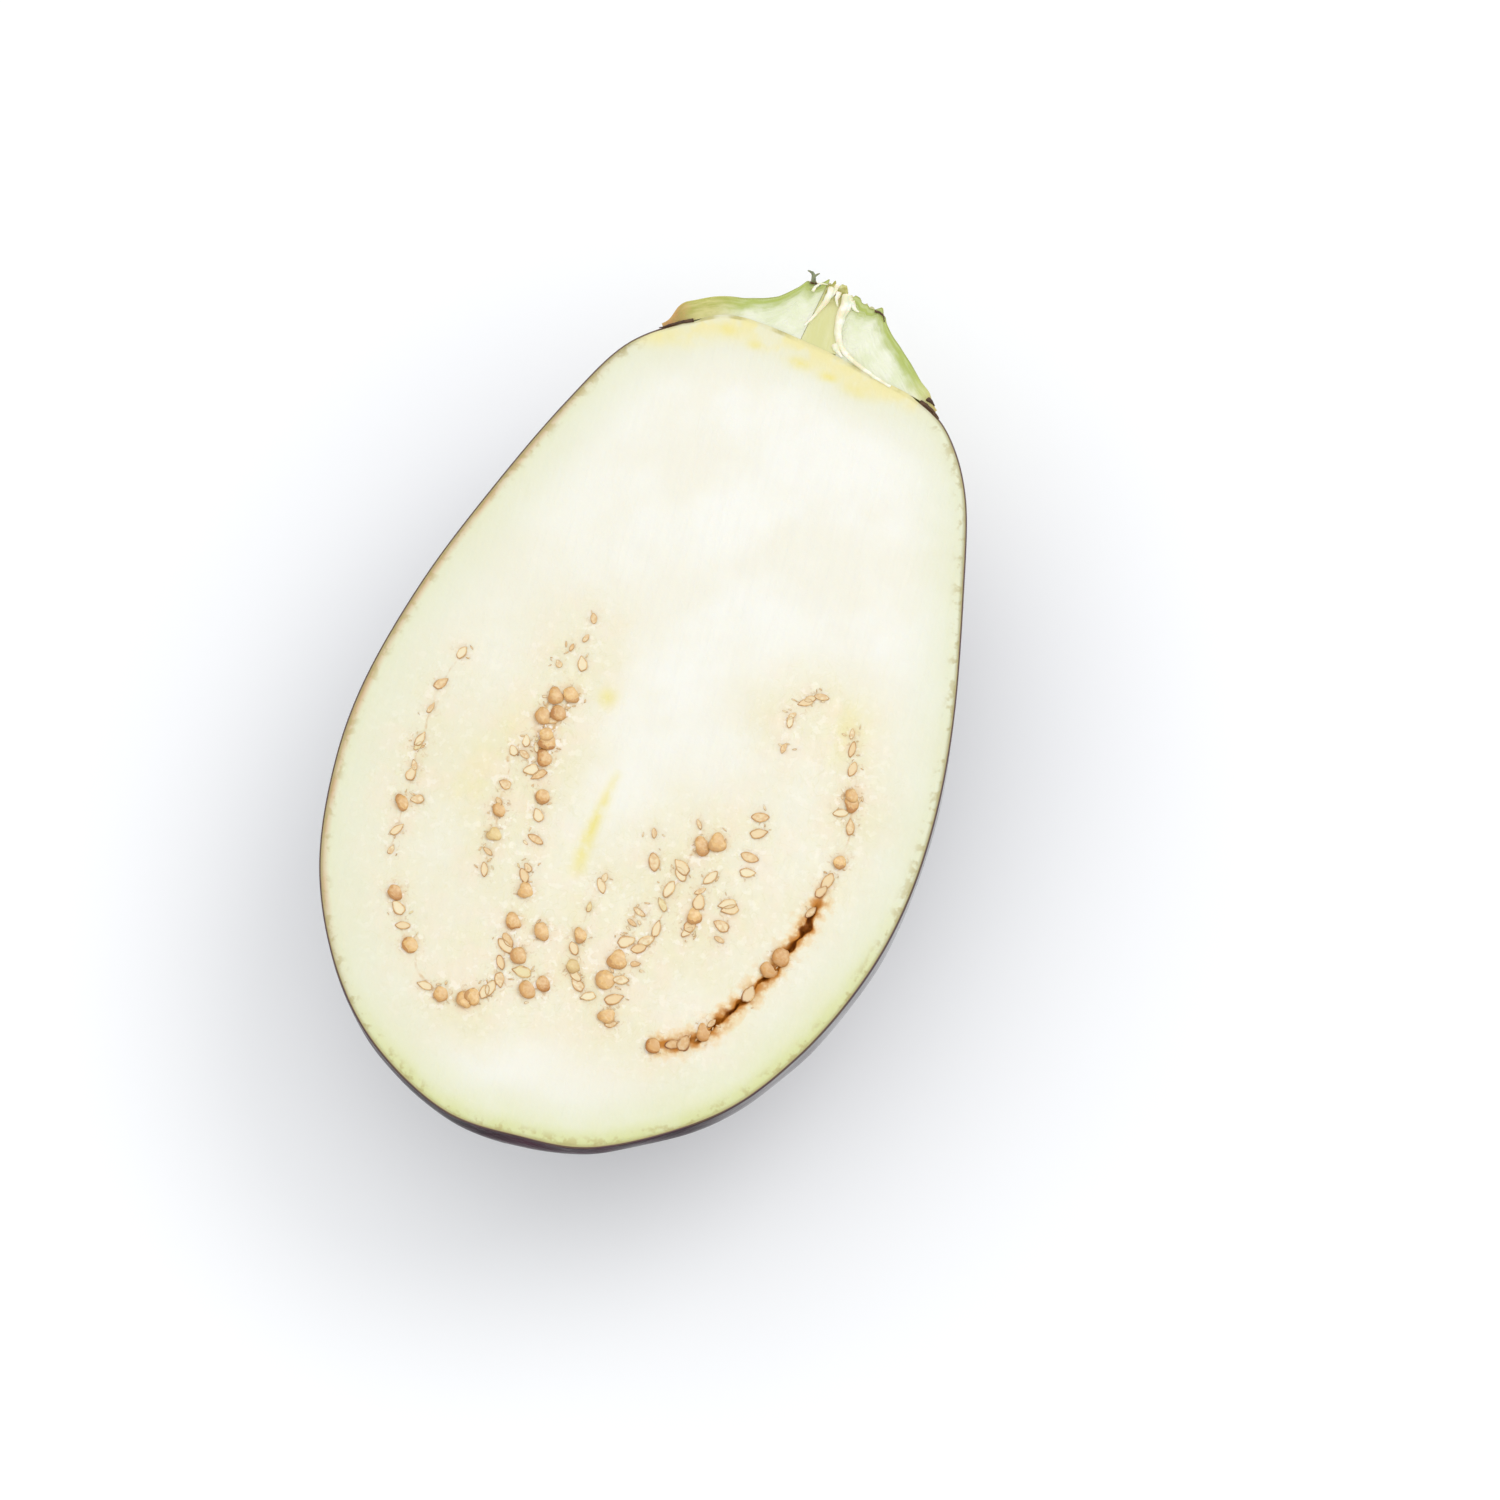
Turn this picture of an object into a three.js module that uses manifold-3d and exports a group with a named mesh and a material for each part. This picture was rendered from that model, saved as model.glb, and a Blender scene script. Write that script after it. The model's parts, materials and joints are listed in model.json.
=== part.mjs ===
// Half of a globe eggplant, cut lengthwise through the stalk, lying on its skin side.
// Millimetres, +Z up. +Y runs from the blossom end to the stalk, and the cut face looks up, level.
// The origin is the middle of the small flat spot that the half rests on.

import * as THREE from "three";
import { mergeVertices } from "three/addons/utils/BufferGeometryUtils.js";
import Module from "manifold-3d";

const wasm = await Module();
wasm.setup();

// ---------- driving dimensions ----------

const CUT_HEIGHT = 47.2; // height of the cut face above the resting spot
const DEPTH_RATIO = 0.982; // depth of a cross-section over its half width, beside the resting spot
const DEPTH_GROWTH = 0.0018; // how much that ratio grows for each millimetre towards the stalk
const SKIN_THICKNESS = 1.0;
const FIT_GAP = 0.3; // clearance between neighbouring pieces
const CALYX_GAP = 0.55; // clearance under the calyx, whose wide faces cut the curve of the fruit

// Rim of the cut face. Each station joins a point on the right with its partner on the left.
const BLOSSOM_END = [-3.4, -68.8];
const STALK_END = [9.4, 75.3];
const RIM_RIGHT = [
  [10.5, -67.1], [27.3, -57.1], [37.4, -44.7], [44.5, -30.0], [48.2, -15.5], [49.2, 1.0],
  [47.8, 18.5], [44.1, 39.0], [40.3, 55.4], [34.9, 65.5], [28.6, 70.3], [19.0, 72.9],
];
const RIM_LEFT = [
  [-16.3, -67.6], [-30.0, -59.8], [-39.6, -48.9], [-46.5, -34.1], [-49.1, -17.5], [-48.4, -1.0],
  [-43.6, 19.1], [-36.2, 39.0], [-28.9, 55.5], [-21.9, 67.7], [-12.4, 74.5], [-4.5, 77.2],
];
const SKIN_END = 11; // the station where the calyx is attached and the skin stops
const LAST_STATION = RIM_RIGHT.length + 1;

// Mesh density of the fruit.
const SKIN_ROWS_PER_STATION = 3;
const FLESH_ROWS_PER_STATION = 2;
const FRUIT_COLUMNS = 30;

// Calyx: height above the fruit over the distance from the stalk's middle, along the two cut edges.
const CALYX_RIGHT = [
  [3.3, 11.3], [6.4, 10.9], [7.7, 9.6], [9.6, 8.3], [12.1, 7.1], [15.4, 5.0], [18.1, 3.0], [21, 1.8],
];
const CALYX_LEFT = [
  [3.3, 11.3], [6.4, 10.3], [7.8, 8.0], [9.5, 5.8], [11.5, 4.6], [14.3, 3.6], [22.9, 3.6], [27, 1.6],
];
const CALYX_EDGE_THICKNESS = 1.2;
// Reach of the calyx from the stalk's middle, at angles from the right cut edge round to the left.
// It rises to the tip of a lobe and falls to the notch between two lobes.
const CALYX_REACH = [
  [0, 22.8], [9, 21.5], [36, 41.0], [63, 25.0], [90, 44.0], [117, 25.5], [144, 42.0], [171, 25.5],
  [180, 27.6],
];
const LOBE_SHARPNESS = 1.35; // above 1 the sides of a lobe are hollow and its tip is a point
const TIP_LIFT = 1.6; // how far a dry lobe tip curls off the skin
const RIB_HEIGHT = 0.7; // ridge along the middle of a lobe
const RIB_WIDTH = 7; // degrees
const CALYX_COLUMNS = 40;
const CALYX_NEAR = [3.3, 4.8, 6.4, 7.8, 9.6, 12]; // rows near the stalk, by distance
const CALYX_FAR = [0.2, 0.4, 0.6, 0.8, 0.92, 1]; // rows further out, as shares of what is left

// Stalk: the stringy core that runs through the middle of the calyx to its torn top.
const STALK_RADIUS = 3.0;
const STALK_HEIGHT = 11.9;
const STALK_LEAN = 3; // degrees to the right of +Y
const STALK_COLUMNS = 16;

// Seeds: rows that follow the seed chambers cut open on the face. A row is a path with evenly
// spaced slots: w holds a seed that the knife left whole, c one that it cut open, s one that it
// took a sliver from, and a dot is an empty slot. The spread is to both sides of the path, the
// turn is in degrees between the path and the long way of the seeds.
const SEED_ROWS = [
  { path: [[-33.9, 8.2], [-34.9, 5], [-35.8, 1.8], [-36.4, -2.5], [-36.7, -7.4], [-36.5, -11.1],
    [-36.2, -15.3], [-36.3, -20.1], [-36.2, -24.2], [-36.2, -27.7]],
    spread: 0.25, turn: -10, size: 0.9, slots: "c...c..s..cs.sc..w..c.s" },
  { path: [[-34.3, -18.3], [-33.1, -18.4]],
    spread: 0, turn: 25, size: 0.9, slots: "c." },
  { path: [[-33.3, -34.5], [-31.8, -37.6], [-30.6, -40.1], [-28.5, -42.6], [-24.4, -48],
    [-21.7, -49.3], [-17.6, -48.8], [-14.8, -47.3], [-13.1, -44.8], [-13.4, -42.1],
    [-13.3, -39.3], [-13.2, -34.3]],
    spread: 0.25, turn: 45, size: 1, slots: "w.c.c.w....c.w..wwccc.c.cc.w" },
  { path: [[-8, -34.7], [-9.6, -37.4], [-11.1, -39.9], [-9.7, -42.3], [-7.7, -44.9],
    [-5.7, -43.1]],
    spread: 0.25, turn: 50, size: 1, slots: "w...w.c.w.w" },
  { path: [[-14.5, 19.3], [-14.7, 15.3], [-13.9, 10.8]],
    spread: 0.2, turn: 0, size: 0.85, slots: "s.s..c" },
  { path: [[-16.7, 13.5], [-17.9, 9.6]],
    spread: 0.2, turn: 25, size: 0.8, slots: "s.s" },
  { path: [[-14.6, 5.8], [-15.3, 2.8], [-16.2, -1.4], [-16, -4.2], [-15.8, -6.1]],
    spread: 0.5, turn: -55, size: 1, slots: "w..ws.ww.w" },
  { path: [[-16.9, 4.7], [-18.2, 0], [-17.8, -5]],
    spread: 0.5, turn: 10, size: 0.95, slots: "w..w...s" },
  { path: [[-19.5, -3.9], [-21.5, -6.9], [-21.2, -11.8], [-20.9, -15.8], [-20.3, -20.4],
    [-20.4, -24.3], [-20.5, -27]],
    spread: 0.3, turn: 45, size: 0.8, slots: "c.c...c.sw..w.s.c" },
  { path: [[-19.4, -6.5], [-17.6, -8.7], [-15.7, -9.5], [-14.5, -12.7], [-13.9, -16.6],
    [-13.5, -20.4], [-13.4, -23.9], [-13.7, -26.4], [-12.7, -28.6]],
    spread: 0.3, turn: 45, size: 0.9, slots: "s.cc..w.c..c..sc.w" },
  { path: [[-0.7, -23.3], [-1.4, -25.2], [-2.1, -29.6], [-2.1, -33.8], [-2.2, -37.2],
    [-1, -40.8], [0.4, -42.9], [1.9, -43.2]],
    spread: 0.25, turn: 20, size: 0.9, slots: "sc..s..w.c.wcc.c" },
  { path: [[6.2, -27], [5.2, -29.6], [5.4, -32.7], [4.9, -35.9], [4, -39.3], [5.6, -42.2],
    [5.8, -45.1], [6.7, -46.8]],
    spread: 0.4, turn: -75, size: 1.05, slots: "s.s.c.w..w.c.ws" },
  { path: [[8.8, -31.6], [7.8, -33.8], [7.7, -36.1], [6.6, -39.3]],
    spread: 0.3, turn: -55, size: 0.9, slots: "cc.s.c" },
  { path: [[15.7, -12.5], [13.1, -14], [11.4, -17.2], [11.1, -19.9], [9.9, -22.5], [9.8, -25.2],
    [9.8, -29.4]],
    spread: 0.3, turn: 25, size: 1, slots: "w.w..cc.c.c..c" },
  { path: [[11.9, -10.2], [14.8, -14.2], [16, -17.9], [15.2, -22], [15.3, -25.3], [14.4, -28.9]],
    spread: 0.4, turn: -25, size: 0.95, slots: "s.....c.sc.wcc" },
  { path: [[19.9, -22.2], [20.8, -23.8], [20, -26.5], [20, -28.9]],
    spread: 0.2, turn: 70, size: 1, slots: "cc.c.s" },
  { path: [[5, -13.8], [6.5, -18.5]],
    spread: 0.2, turn: 15, size: 0.95, slots: "s..c" },
  { path: [[21.4, -6.3], [21.4, -9.4], [21.6, -12.9], [21.6, -16.4]],
    spread: 0.4, turn: -85, size: 0.95, slots: "c.c..c.c" },
  { path: [[22, 5.5], [21.6, 9.8], [22.6, 13.6], [25.6, 16]],
    spread: 0.2, turn: -15, size: 0.8, slots: "s..cs.ccc" },
  { path: [[32.3, 11.2], [33.5, 5.9], [34.9, 0.9], [36.1, -5.3], [35.9, -10.1], [34.6, -14.2],
    [34.3, -16.5], [33.5, -20.4]],
    spread: 0.2, turn: -10, size: 0.95, slots: "s.c.c..ww..c...w..cc..c" },
  { path: [[33.7, -2.6], [34.6, -2.2]],
    spread: 0, turn: 0, size: 0.8, slots: "c." },
  { path: [[30.8, -28.3], [29.4, -31.1], [27, -36.7], [24.6, -39.9], [22.6, -42.5],
    [21.5, -44.4], [18.8, -47], [14.5, -48.5]],
    spread: 0.25, turn: 25, size: 1, slots: "w.w..c....sw.cc.w" },
];
const SEED_JITTER = 0.3; // how far a seed may slide along its row, over the spacing of the slots
const SEED_SCATTER = 30; // degrees that a seed may turn from the way of its row, to either side
const SEED_SIZE_SPREAD = 0.12; // how much larger or smaller than its row's size a seed may be
const SEED_LENGTH = 3.2;
const SEED_THICKNESS = 1.3;
const SEED_SHOWN = { w: [1, 0.85], c: [0.9, 0.5], s: [0.62, 0.3] }; // length and width of each kind
const SEED_SIDES = 6;
const RANDOM_SEED = 4092;

// ---------- shared shapes ----------

const radians = THREE.MathUtils.degToRad;
const mix = THREE.MathUtils.lerp;
const smoothstep = THREE.MathUtils.smoothstep;
const flat = ([x, y]) => new THREE.Vector3(x, y, 0);

const rim = new THREE.CatmullRomCurve3(
  [BLOSSOM_END, ...RIM_RIGHT, STALK_END, ...RIM_LEFT.toReversed()].map(flat),
  true,
  "catmullrom",
  0.5,
);

// A point of the rim at a station, on the right (side 1) or the left (side -1), moved inwards.
function rimPoint(station, side, inset) {
  const along = (station * side) / rim.points.length;
  const t = (along + 1) % 1;
  const tangent = rim.getTangent(t);
  return rim.getPoint(t).add(new THREE.Vector3(-tangent.y, tangent.x, 0).multiplyScalar(inset));
}

// A point of the fruit's surface. Each cross-section is half an ellipse that hangs from the line
// between the two partners of its station; angle 0 is the right cut edge and PI the left one.
function fruitPoint(station, angle, inset = 0) {
  const right = rimPoint(station, 1, inset);
  const left = rimPoint(station, -1, inset);
  const middle = right.clone().add(left).multiplyScalar(0.5);
  const half = right.sub(left).multiplyScalar(0.5);
  const depth = half.length() * (DEPTH_RATIO + DEPTH_GROWTH * middle.y);
  const point = middle.addScaledVector(half, Math.cos(angle));
  point.z = Math.max(CUT_HEIGHT - Math.sin(angle) * depth, inset);
  return point;
}

// Value at x between the [x, value] pairs of a list: on a straight line, or on the curve that an
// ease function gives for the share of the way from one pair to the next.
function lookUp(pairs, x, ease = (share) => share) {
  const last = pairs.length - 1;
  if (x >= pairs[last][0]) return pairs[last][1];
  const next = Math.max(1, pairs.findIndex(([place]) => place > x));
  const [x0, value0] = pairs[next - 1];
  const [x1, value1] = pairs[next];
  return mix(value0, value1, ease(THREE.MathUtils.clamp((x - x0) / (x1 - x0), 0, 1), value0, value1));
}

// Splits each four-sided face in two, drops faces without area, and turns the whole outwards.
function closedGeometry(quads) {
  const positions = quads
    .flatMap(([a, b, c, d]) => [[a, b, c], [a, c, d]])
    .filter(([a, b, c]) => new THREE.Triangle(a, b, c).getArea() > 1e-6)
    .flat();
  const geometry = mergeVertices(new THREE.BufferGeometry().setFromPoints(positions), 1e-4);
  const faces = Array.from(geometry.index.array);
  const corner = (n) => new THREE.Vector3().fromBufferAttribute(geometry.attributes.position, faces[n]);
  let volume = 0;
  for (let n = 0; n < faces.length; n += 3) volume += corner(n).dot(corner(n + 1).cross(corner(n + 2)));
  geometry.setIndex(volume > 0 ? faces : faces.reverse());
  return geometry;
}

// The body between an outer and an inner sheet of points, closed round all four edges.
function bodyBetween(outer, inner) {
  const lastRow = outer.length - 1;
  const lastColumn = outer[0].length - 1;
  const quads = [];
  for (let c = 0; c < lastColumn; c++) {
    for (let r = 0; r < lastRow; r++) {
      quads.push([outer[r][c], outer[r][c + 1], outer[r + 1][c + 1], outer[r + 1][c]]);
      quads.push([inner[r][c], inner[r + 1][c], inner[r + 1][c + 1], inner[r][c + 1]]);
    }
    quads.push([outer[0][c], inner[0][c], inner[0][c + 1], outer[0][c + 1]]);
    quads.push([outer[lastRow][c + 1], inner[lastRow][c + 1], inner[lastRow][c], outer[lastRow][c]]);
  }
  for (let r = 0; r < lastRow; r++) {
    const [first, last] = [0, lastColumn];
    quads.push([outer[r + 1][first], inner[r + 1][first], inner[r][first], outer[r][first]]);
    quads.push([outer[r][last], inner[r][last], inner[r + 1][last], outer[r + 1][last]]);
  }
  return closedGeometry(quads);
}

// A sheet of points, with a row for each entry of the list and a column for each angle.
function sheet(rows, columns, place) {
  return rows.map((row) =>
    Array.from({ length: columns + 1 }, (_, column) => place(row, (Math.PI * column) / columns)));
}

function steps(first, last, count) {
  return Array.from({ length: count + 1 }, (_, n) => mix(first, last, n / count));
}

function toSolid(geometry) {
  const { position } = geometry.attributes;
  return new wasm.Manifold(new wasm.Mesh({
    numProp: 3,
    vertProperties: new Float32Array(position.array),
    triVerts: new Uint32Array(geometry.index.array),
  }));
}

function toGeometry(solid) {
  const { vertProperties, triVerts } = solid.getMesh();
  const geometry = new THREE.BufferGeometry();
  geometry.setAttribute("position", new THREE.BufferAttribute(vertProperties, 3));
  return geometry.setIndex(new THREE.BufferAttribute(triVerts, 1));
}

// Numbers from 0 to 1 that are the same each run.
function randomSource(seed) {
  let state = seed;
  return () => {
    state = (state * 1664525 + 1013904223) % 4294967296;
    return state / 4294967296;
  };
}

// ---------- skin ----------

function skin() {
  const rows = steps(0, SKIN_END, SKIN_END * SKIN_ROWS_PER_STATION);
  const outer = sheet(rows, FRUIT_COLUMNS, (station, angle) => fruitPoint(station, angle));
  const inner = sheet(rows, FRUIT_COLUMNS, (station, angle) =>
    fruitPoint(station, angle, SKIN_THICKNESS));
  return bodyBetween(outer, inner);
}

// ---------- flesh with its seeds ----------

function fleshInset(station) {
  return (SKIN_THICKNESS + FIT_GAP) * (1 - smoothstep(station, SKIN_END + 0.1, SKIN_END + 0.6));
}

function fleshBody() {
  const rows = steps(0, LAST_STATION, LAST_STATION * FLESH_ROWS_PER_STATION);
  const outer = sheet(rows, FRUIT_COLUMNS, (station, angle) =>
    fruitPoint(station, angle, fleshInset(station)));
  const face = outer.map((row) =>
    row.map((_, column) => row[0].clone().lerp(row[FRUIT_COLUMNS], column / FRUIT_COLUMNS)));
  return toSolid(bodyBetween(outer, face));
}

// One seed, a flattened lens that lies half sunk in the cut face.
function seedBody(x, y, turn, size, kind) {
  const [long, wide] = SEED_SHOWN[kind];
  const geometry = new THREE.SphereGeometry(0.5, SEED_SIDES, 3);
  geometry.rotateX(Math.PI / 2);
  geometry.scale(SEED_LENGTH * long * size, SEED_LENGTH * wide * size, SEED_THICKNESS * size);
  geometry.rotateZ(turn);
  geometry.translate(x, y, CUT_HEIGHT);
  geometry.deleteAttribute("normal");
  geometry.deleteAttribute("uv");
  return toSolid(mergeVertices(geometry));
}

function seedBodies() {
  const random = randomSource(RANDOM_SEED);
  const around = (spread) => (2 * random() - 1) * spread;
  const seeds = [];
  for (const { path, spread, turn: rowTurn, size: rowSize, slots } of SEED_ROWS) {
    const curve = new THREE.CatmullRomCurve3(path.map(flat), false, "catmullrom", 0.5);
    for (const [n, kind] of [...slots].entries()) {
      if (kind === ".") continue;
      const place = THREE.MathUtils.clamp((n + around(SEED_JITTER)) / (slots.length - 1), 0, 1);
      const point = curve.getPointAt(place);
      const tangent = curve.getTangentAt(place);
      const aside = around(spread);
      const turn = Math.atan2(tangent.y, tangent.x) + radians(rowTurn + around(SEED_SCATTER));
      const size = rowSize * (1 + around(SEED_SIZE_SPREAD));
      const x = point.x - tangent.y * aside;
      const y = point.y + tangent.x * aside;
      seeds.push(seedBody(x, y, turn, size, kind));
    }
  }
  return seeds;
}

function flesh() {
  return toGeometry(seedBodies().reduce((whole, seed) => whole.add(seed), fleshBody()));
}

// ---------- calyx ----------

// The fruit's surface by distance from the stalk's middle, at one angle, with the way out of it.
function shoulder(angle) {
  const stations = steps(LAST_STATION, SKIN_END - 5, 120);
  const points = stations.map((station) => fruitPoint(station, angle));
  let distance = 0;
  const lengths = points.map((point, n) => {
    distance += n ? point.distanceTo(points[n - 1]) : 0;
    return [distance, stations[n]];
  });
  return (reach) => {
    const station = lookUp(lengths, reach);
    const base = fruitPoint(station, angle);
    return { base, outwards: fruitPoint(station, angle, -1).sub(base).normalize() };
  };
}

const stalkDirection = new THREE.Vector3(Math.sin(radians(STALK_LEAN)), Math.cos(radians(STALK_LEAN)), 0);

function calyxReach(degrees) {
  const pointed = (share, from, to) =>
    (to > from ? share ** LOBE_SHARPNESS : 1 - (1 - share) ** LOBE_SHARPNESS);
  return lookUp(CALYX_REACH, degrees, pointed);
}

// 1 along the middle of a lobe and 0 in the notches.
function lobeMiddle(degrees) {
  const tips = CALYX_REACH.filter(([, reach], n) => n % 2 === 0 && n > 0 && n < CALYX_REACH.length - 1);
  return Math.max(...tips.map(([tip]) => Math.exp(-(((degrees - tip) / RIB_WIDTH) ** 2))));
}

function calyx() {
  const near = CALYX_NEAR.map((distance) => () => distance);
  const far = CALYX_FAR.map((share) => (reach) => mix(CALYX_NEAR.at(-1), reach, share));
  const rows = [...near, ...far];
  const place = (side) => (row, angle) => {
    const degrees = THREE.MathUtils.radToDeg(angle);
    const reach = calyxReach(degrees);
    const distance = row(reach);
    const { base, outwards } = shoulder(angle)(distance);
    const direction = outwards.lerp(stalkDirection, 1 - smoothstep(distance, CALYX_NEAR[0], 6)).normalize();
    const towardsEdge = smoothstep(distance / reach, 0.85, 1);
    const lift = CALYX_GAP + TIP_LIFT * lobeMiddle(degrees) * smoothstep(distance, 30, 44);
    const leftShare = (1 - Math.cos(angle)) / 2;
    const top = mix(lookUp(CALYX_RIGHT, distance), lookUp(CALYX_LEFT, distance), leftShare);
    const body = Math.max(top - CALYX_GAP, CALYX_EDGE_THICKNESS);
    const thickness = mix(body, CALYX_EDGE_THICKNESS, towardsEdge);
    const rib = RIB_HEIGHT * lobeMiddle(degrees) * smoothstep(distance, 10, 16);
    return base.addScaledVector(direction, side > 0 ? lift + thickness + rib : lift);
  };
  return bodyBetween(sheet(rows, CALYX_COLUMNS, place(1)), sheet(rows, CALYX_COLUMNS, place(-1)));
}

// ---------- stalk ----------

function stalk() {
  const rows = [0, STALK_RADIUS / 2, STALK_RADIUS];
  const place = (height) => (distance, angle) => {
    const out = distance * Math.cos(angle);
    const base = new THREE.Vector3(STALK_END[0], STALK_END[1], CUT_HEIGHT - distance * Math.sin(angle));
    const across = new THREE.Vector3(stalkDirection.y, -stalkDirection.x, 0);
    return base.addScaledVector(across, out).addScaledVector(stalkDirection, height);
  };
  return bodyBetween(
    sheet(rows, STALK_COLUMNS, place(STALK_HEIGHT)),
    sheet(rows, STALK_COLUMNS, place(2 * FIT_GAP)),
  );
}

// ---------- the object ----------

function piece(name, geometry, color, roughness) {
  geometry.computeVertexNormals();
  const mesh = new THREE.Mesh(geometry, new THREE.MeshStandardMaterial({ color, roughness, metalness: 0 }));
  mesh.name = name;
  return mesh;
}

const group = new THREE.Group();
group.add(
  piece("skin", skin(), 0x2a0c1c, 0.25),
  piece("flesh", flesh(), 0xf3eed2, 0.6),
  piece("calyx", calyx(), 0xa9b47a, 0.75),
  piece("stalk", stalk(), 0xd8d49a, 0.7),
);

export default group;
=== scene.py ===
"""Half of a globe eggplant, cut lengthwise and lying on its skin side.

Shapes are worked out in millimetres, in the frame's own axes: +Y runs from the blossom end to the
stalk, and the cut face looks up. They are turned into metres where a mesh is made.
"""

import json
import math

import bmesh
import bpy
import numpy as np
from bpy.props import FloatProperty, FloatVectorProperty, IntProperty, PointerProperty
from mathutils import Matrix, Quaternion, Vector

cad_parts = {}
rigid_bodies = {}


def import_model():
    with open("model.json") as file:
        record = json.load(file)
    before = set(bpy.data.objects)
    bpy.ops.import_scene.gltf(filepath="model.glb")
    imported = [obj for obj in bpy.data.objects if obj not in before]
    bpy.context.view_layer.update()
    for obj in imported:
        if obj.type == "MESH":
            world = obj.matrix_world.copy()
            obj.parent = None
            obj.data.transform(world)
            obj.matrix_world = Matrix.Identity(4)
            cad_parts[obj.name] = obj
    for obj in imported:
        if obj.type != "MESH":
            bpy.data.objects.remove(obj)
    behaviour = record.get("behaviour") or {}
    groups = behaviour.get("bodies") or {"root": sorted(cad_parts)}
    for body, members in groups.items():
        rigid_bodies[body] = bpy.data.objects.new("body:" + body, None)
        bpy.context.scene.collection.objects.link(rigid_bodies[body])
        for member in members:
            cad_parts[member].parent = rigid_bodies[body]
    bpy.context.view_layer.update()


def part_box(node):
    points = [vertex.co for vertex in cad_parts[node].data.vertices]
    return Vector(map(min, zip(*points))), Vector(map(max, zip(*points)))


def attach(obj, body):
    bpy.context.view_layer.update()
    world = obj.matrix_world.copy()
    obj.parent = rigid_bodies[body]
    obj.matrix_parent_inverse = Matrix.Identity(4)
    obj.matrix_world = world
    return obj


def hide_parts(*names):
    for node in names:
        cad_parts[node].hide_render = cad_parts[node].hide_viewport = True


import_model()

bl_info = {
    "name": "Eggplant Half",
    "version": (1, 0, 0),
    "blender": (4, 5, 0),
    "location": "3D View > Sidebar > Eggplant",
    "description": "Builds a globe eggplant that was cut in half lengthwise",
    "category": "Add Mesh",
}

MM = 0.001
SHARP_ANGLE = math.radians(50)  # edges that turn more than this are not shaded smooth
WELD_REACH = 0.002 * MM
CUT_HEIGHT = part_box("skin")[1].z / MM  # height of the cut face above the resting spot

# ---------- the fruit's form, as in the part ----------

DEPTH_RATIO = 0.982  # depth of a cross-section over its half width, beside the resting spot
DEPTH_GROWTH = 0.0018  # how much that ratio grows for each millimetre towards the stalk
BLOSSOM_END = (-3.4, -68.8)
STALK_END = (9.4, 75.3)
RIM_RIGHT = [
    (10.5, -67.1), (27.3, -57.1), (37.4, -44.7), (44.5, -30.0), (48.2, -15.5), (49.2, 1.0),
    (47.8, 18.5), (44.1, 39.0), (40.3, 55.4), (34.9, 65.5), (28.6, 70.3), (19.0, 72.9),
]
RIM_LEFT = [
    (-16.3, -67.6), (-30.0, -59.8), (-39.6, -48.9), (-46.5, -34.1), (-49.1, -17.5), (-48.4, -1.0),
    (-43.6, 19.1), (-36.2, 39.0), (-28.9, 55.5), (-21.9, 67.7), (-12.4, 74.5), (-4.5, 77.2),
]
RIM = [BLOSSOM_END, *RIM_RIGHT, STALK_END, *reversed(RIM_LEFT)]
SKIN_END = 11  # the station where the calyx is attached and the skin stops
LAST_STATION = len(RIM_RIGHT) + 1

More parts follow.
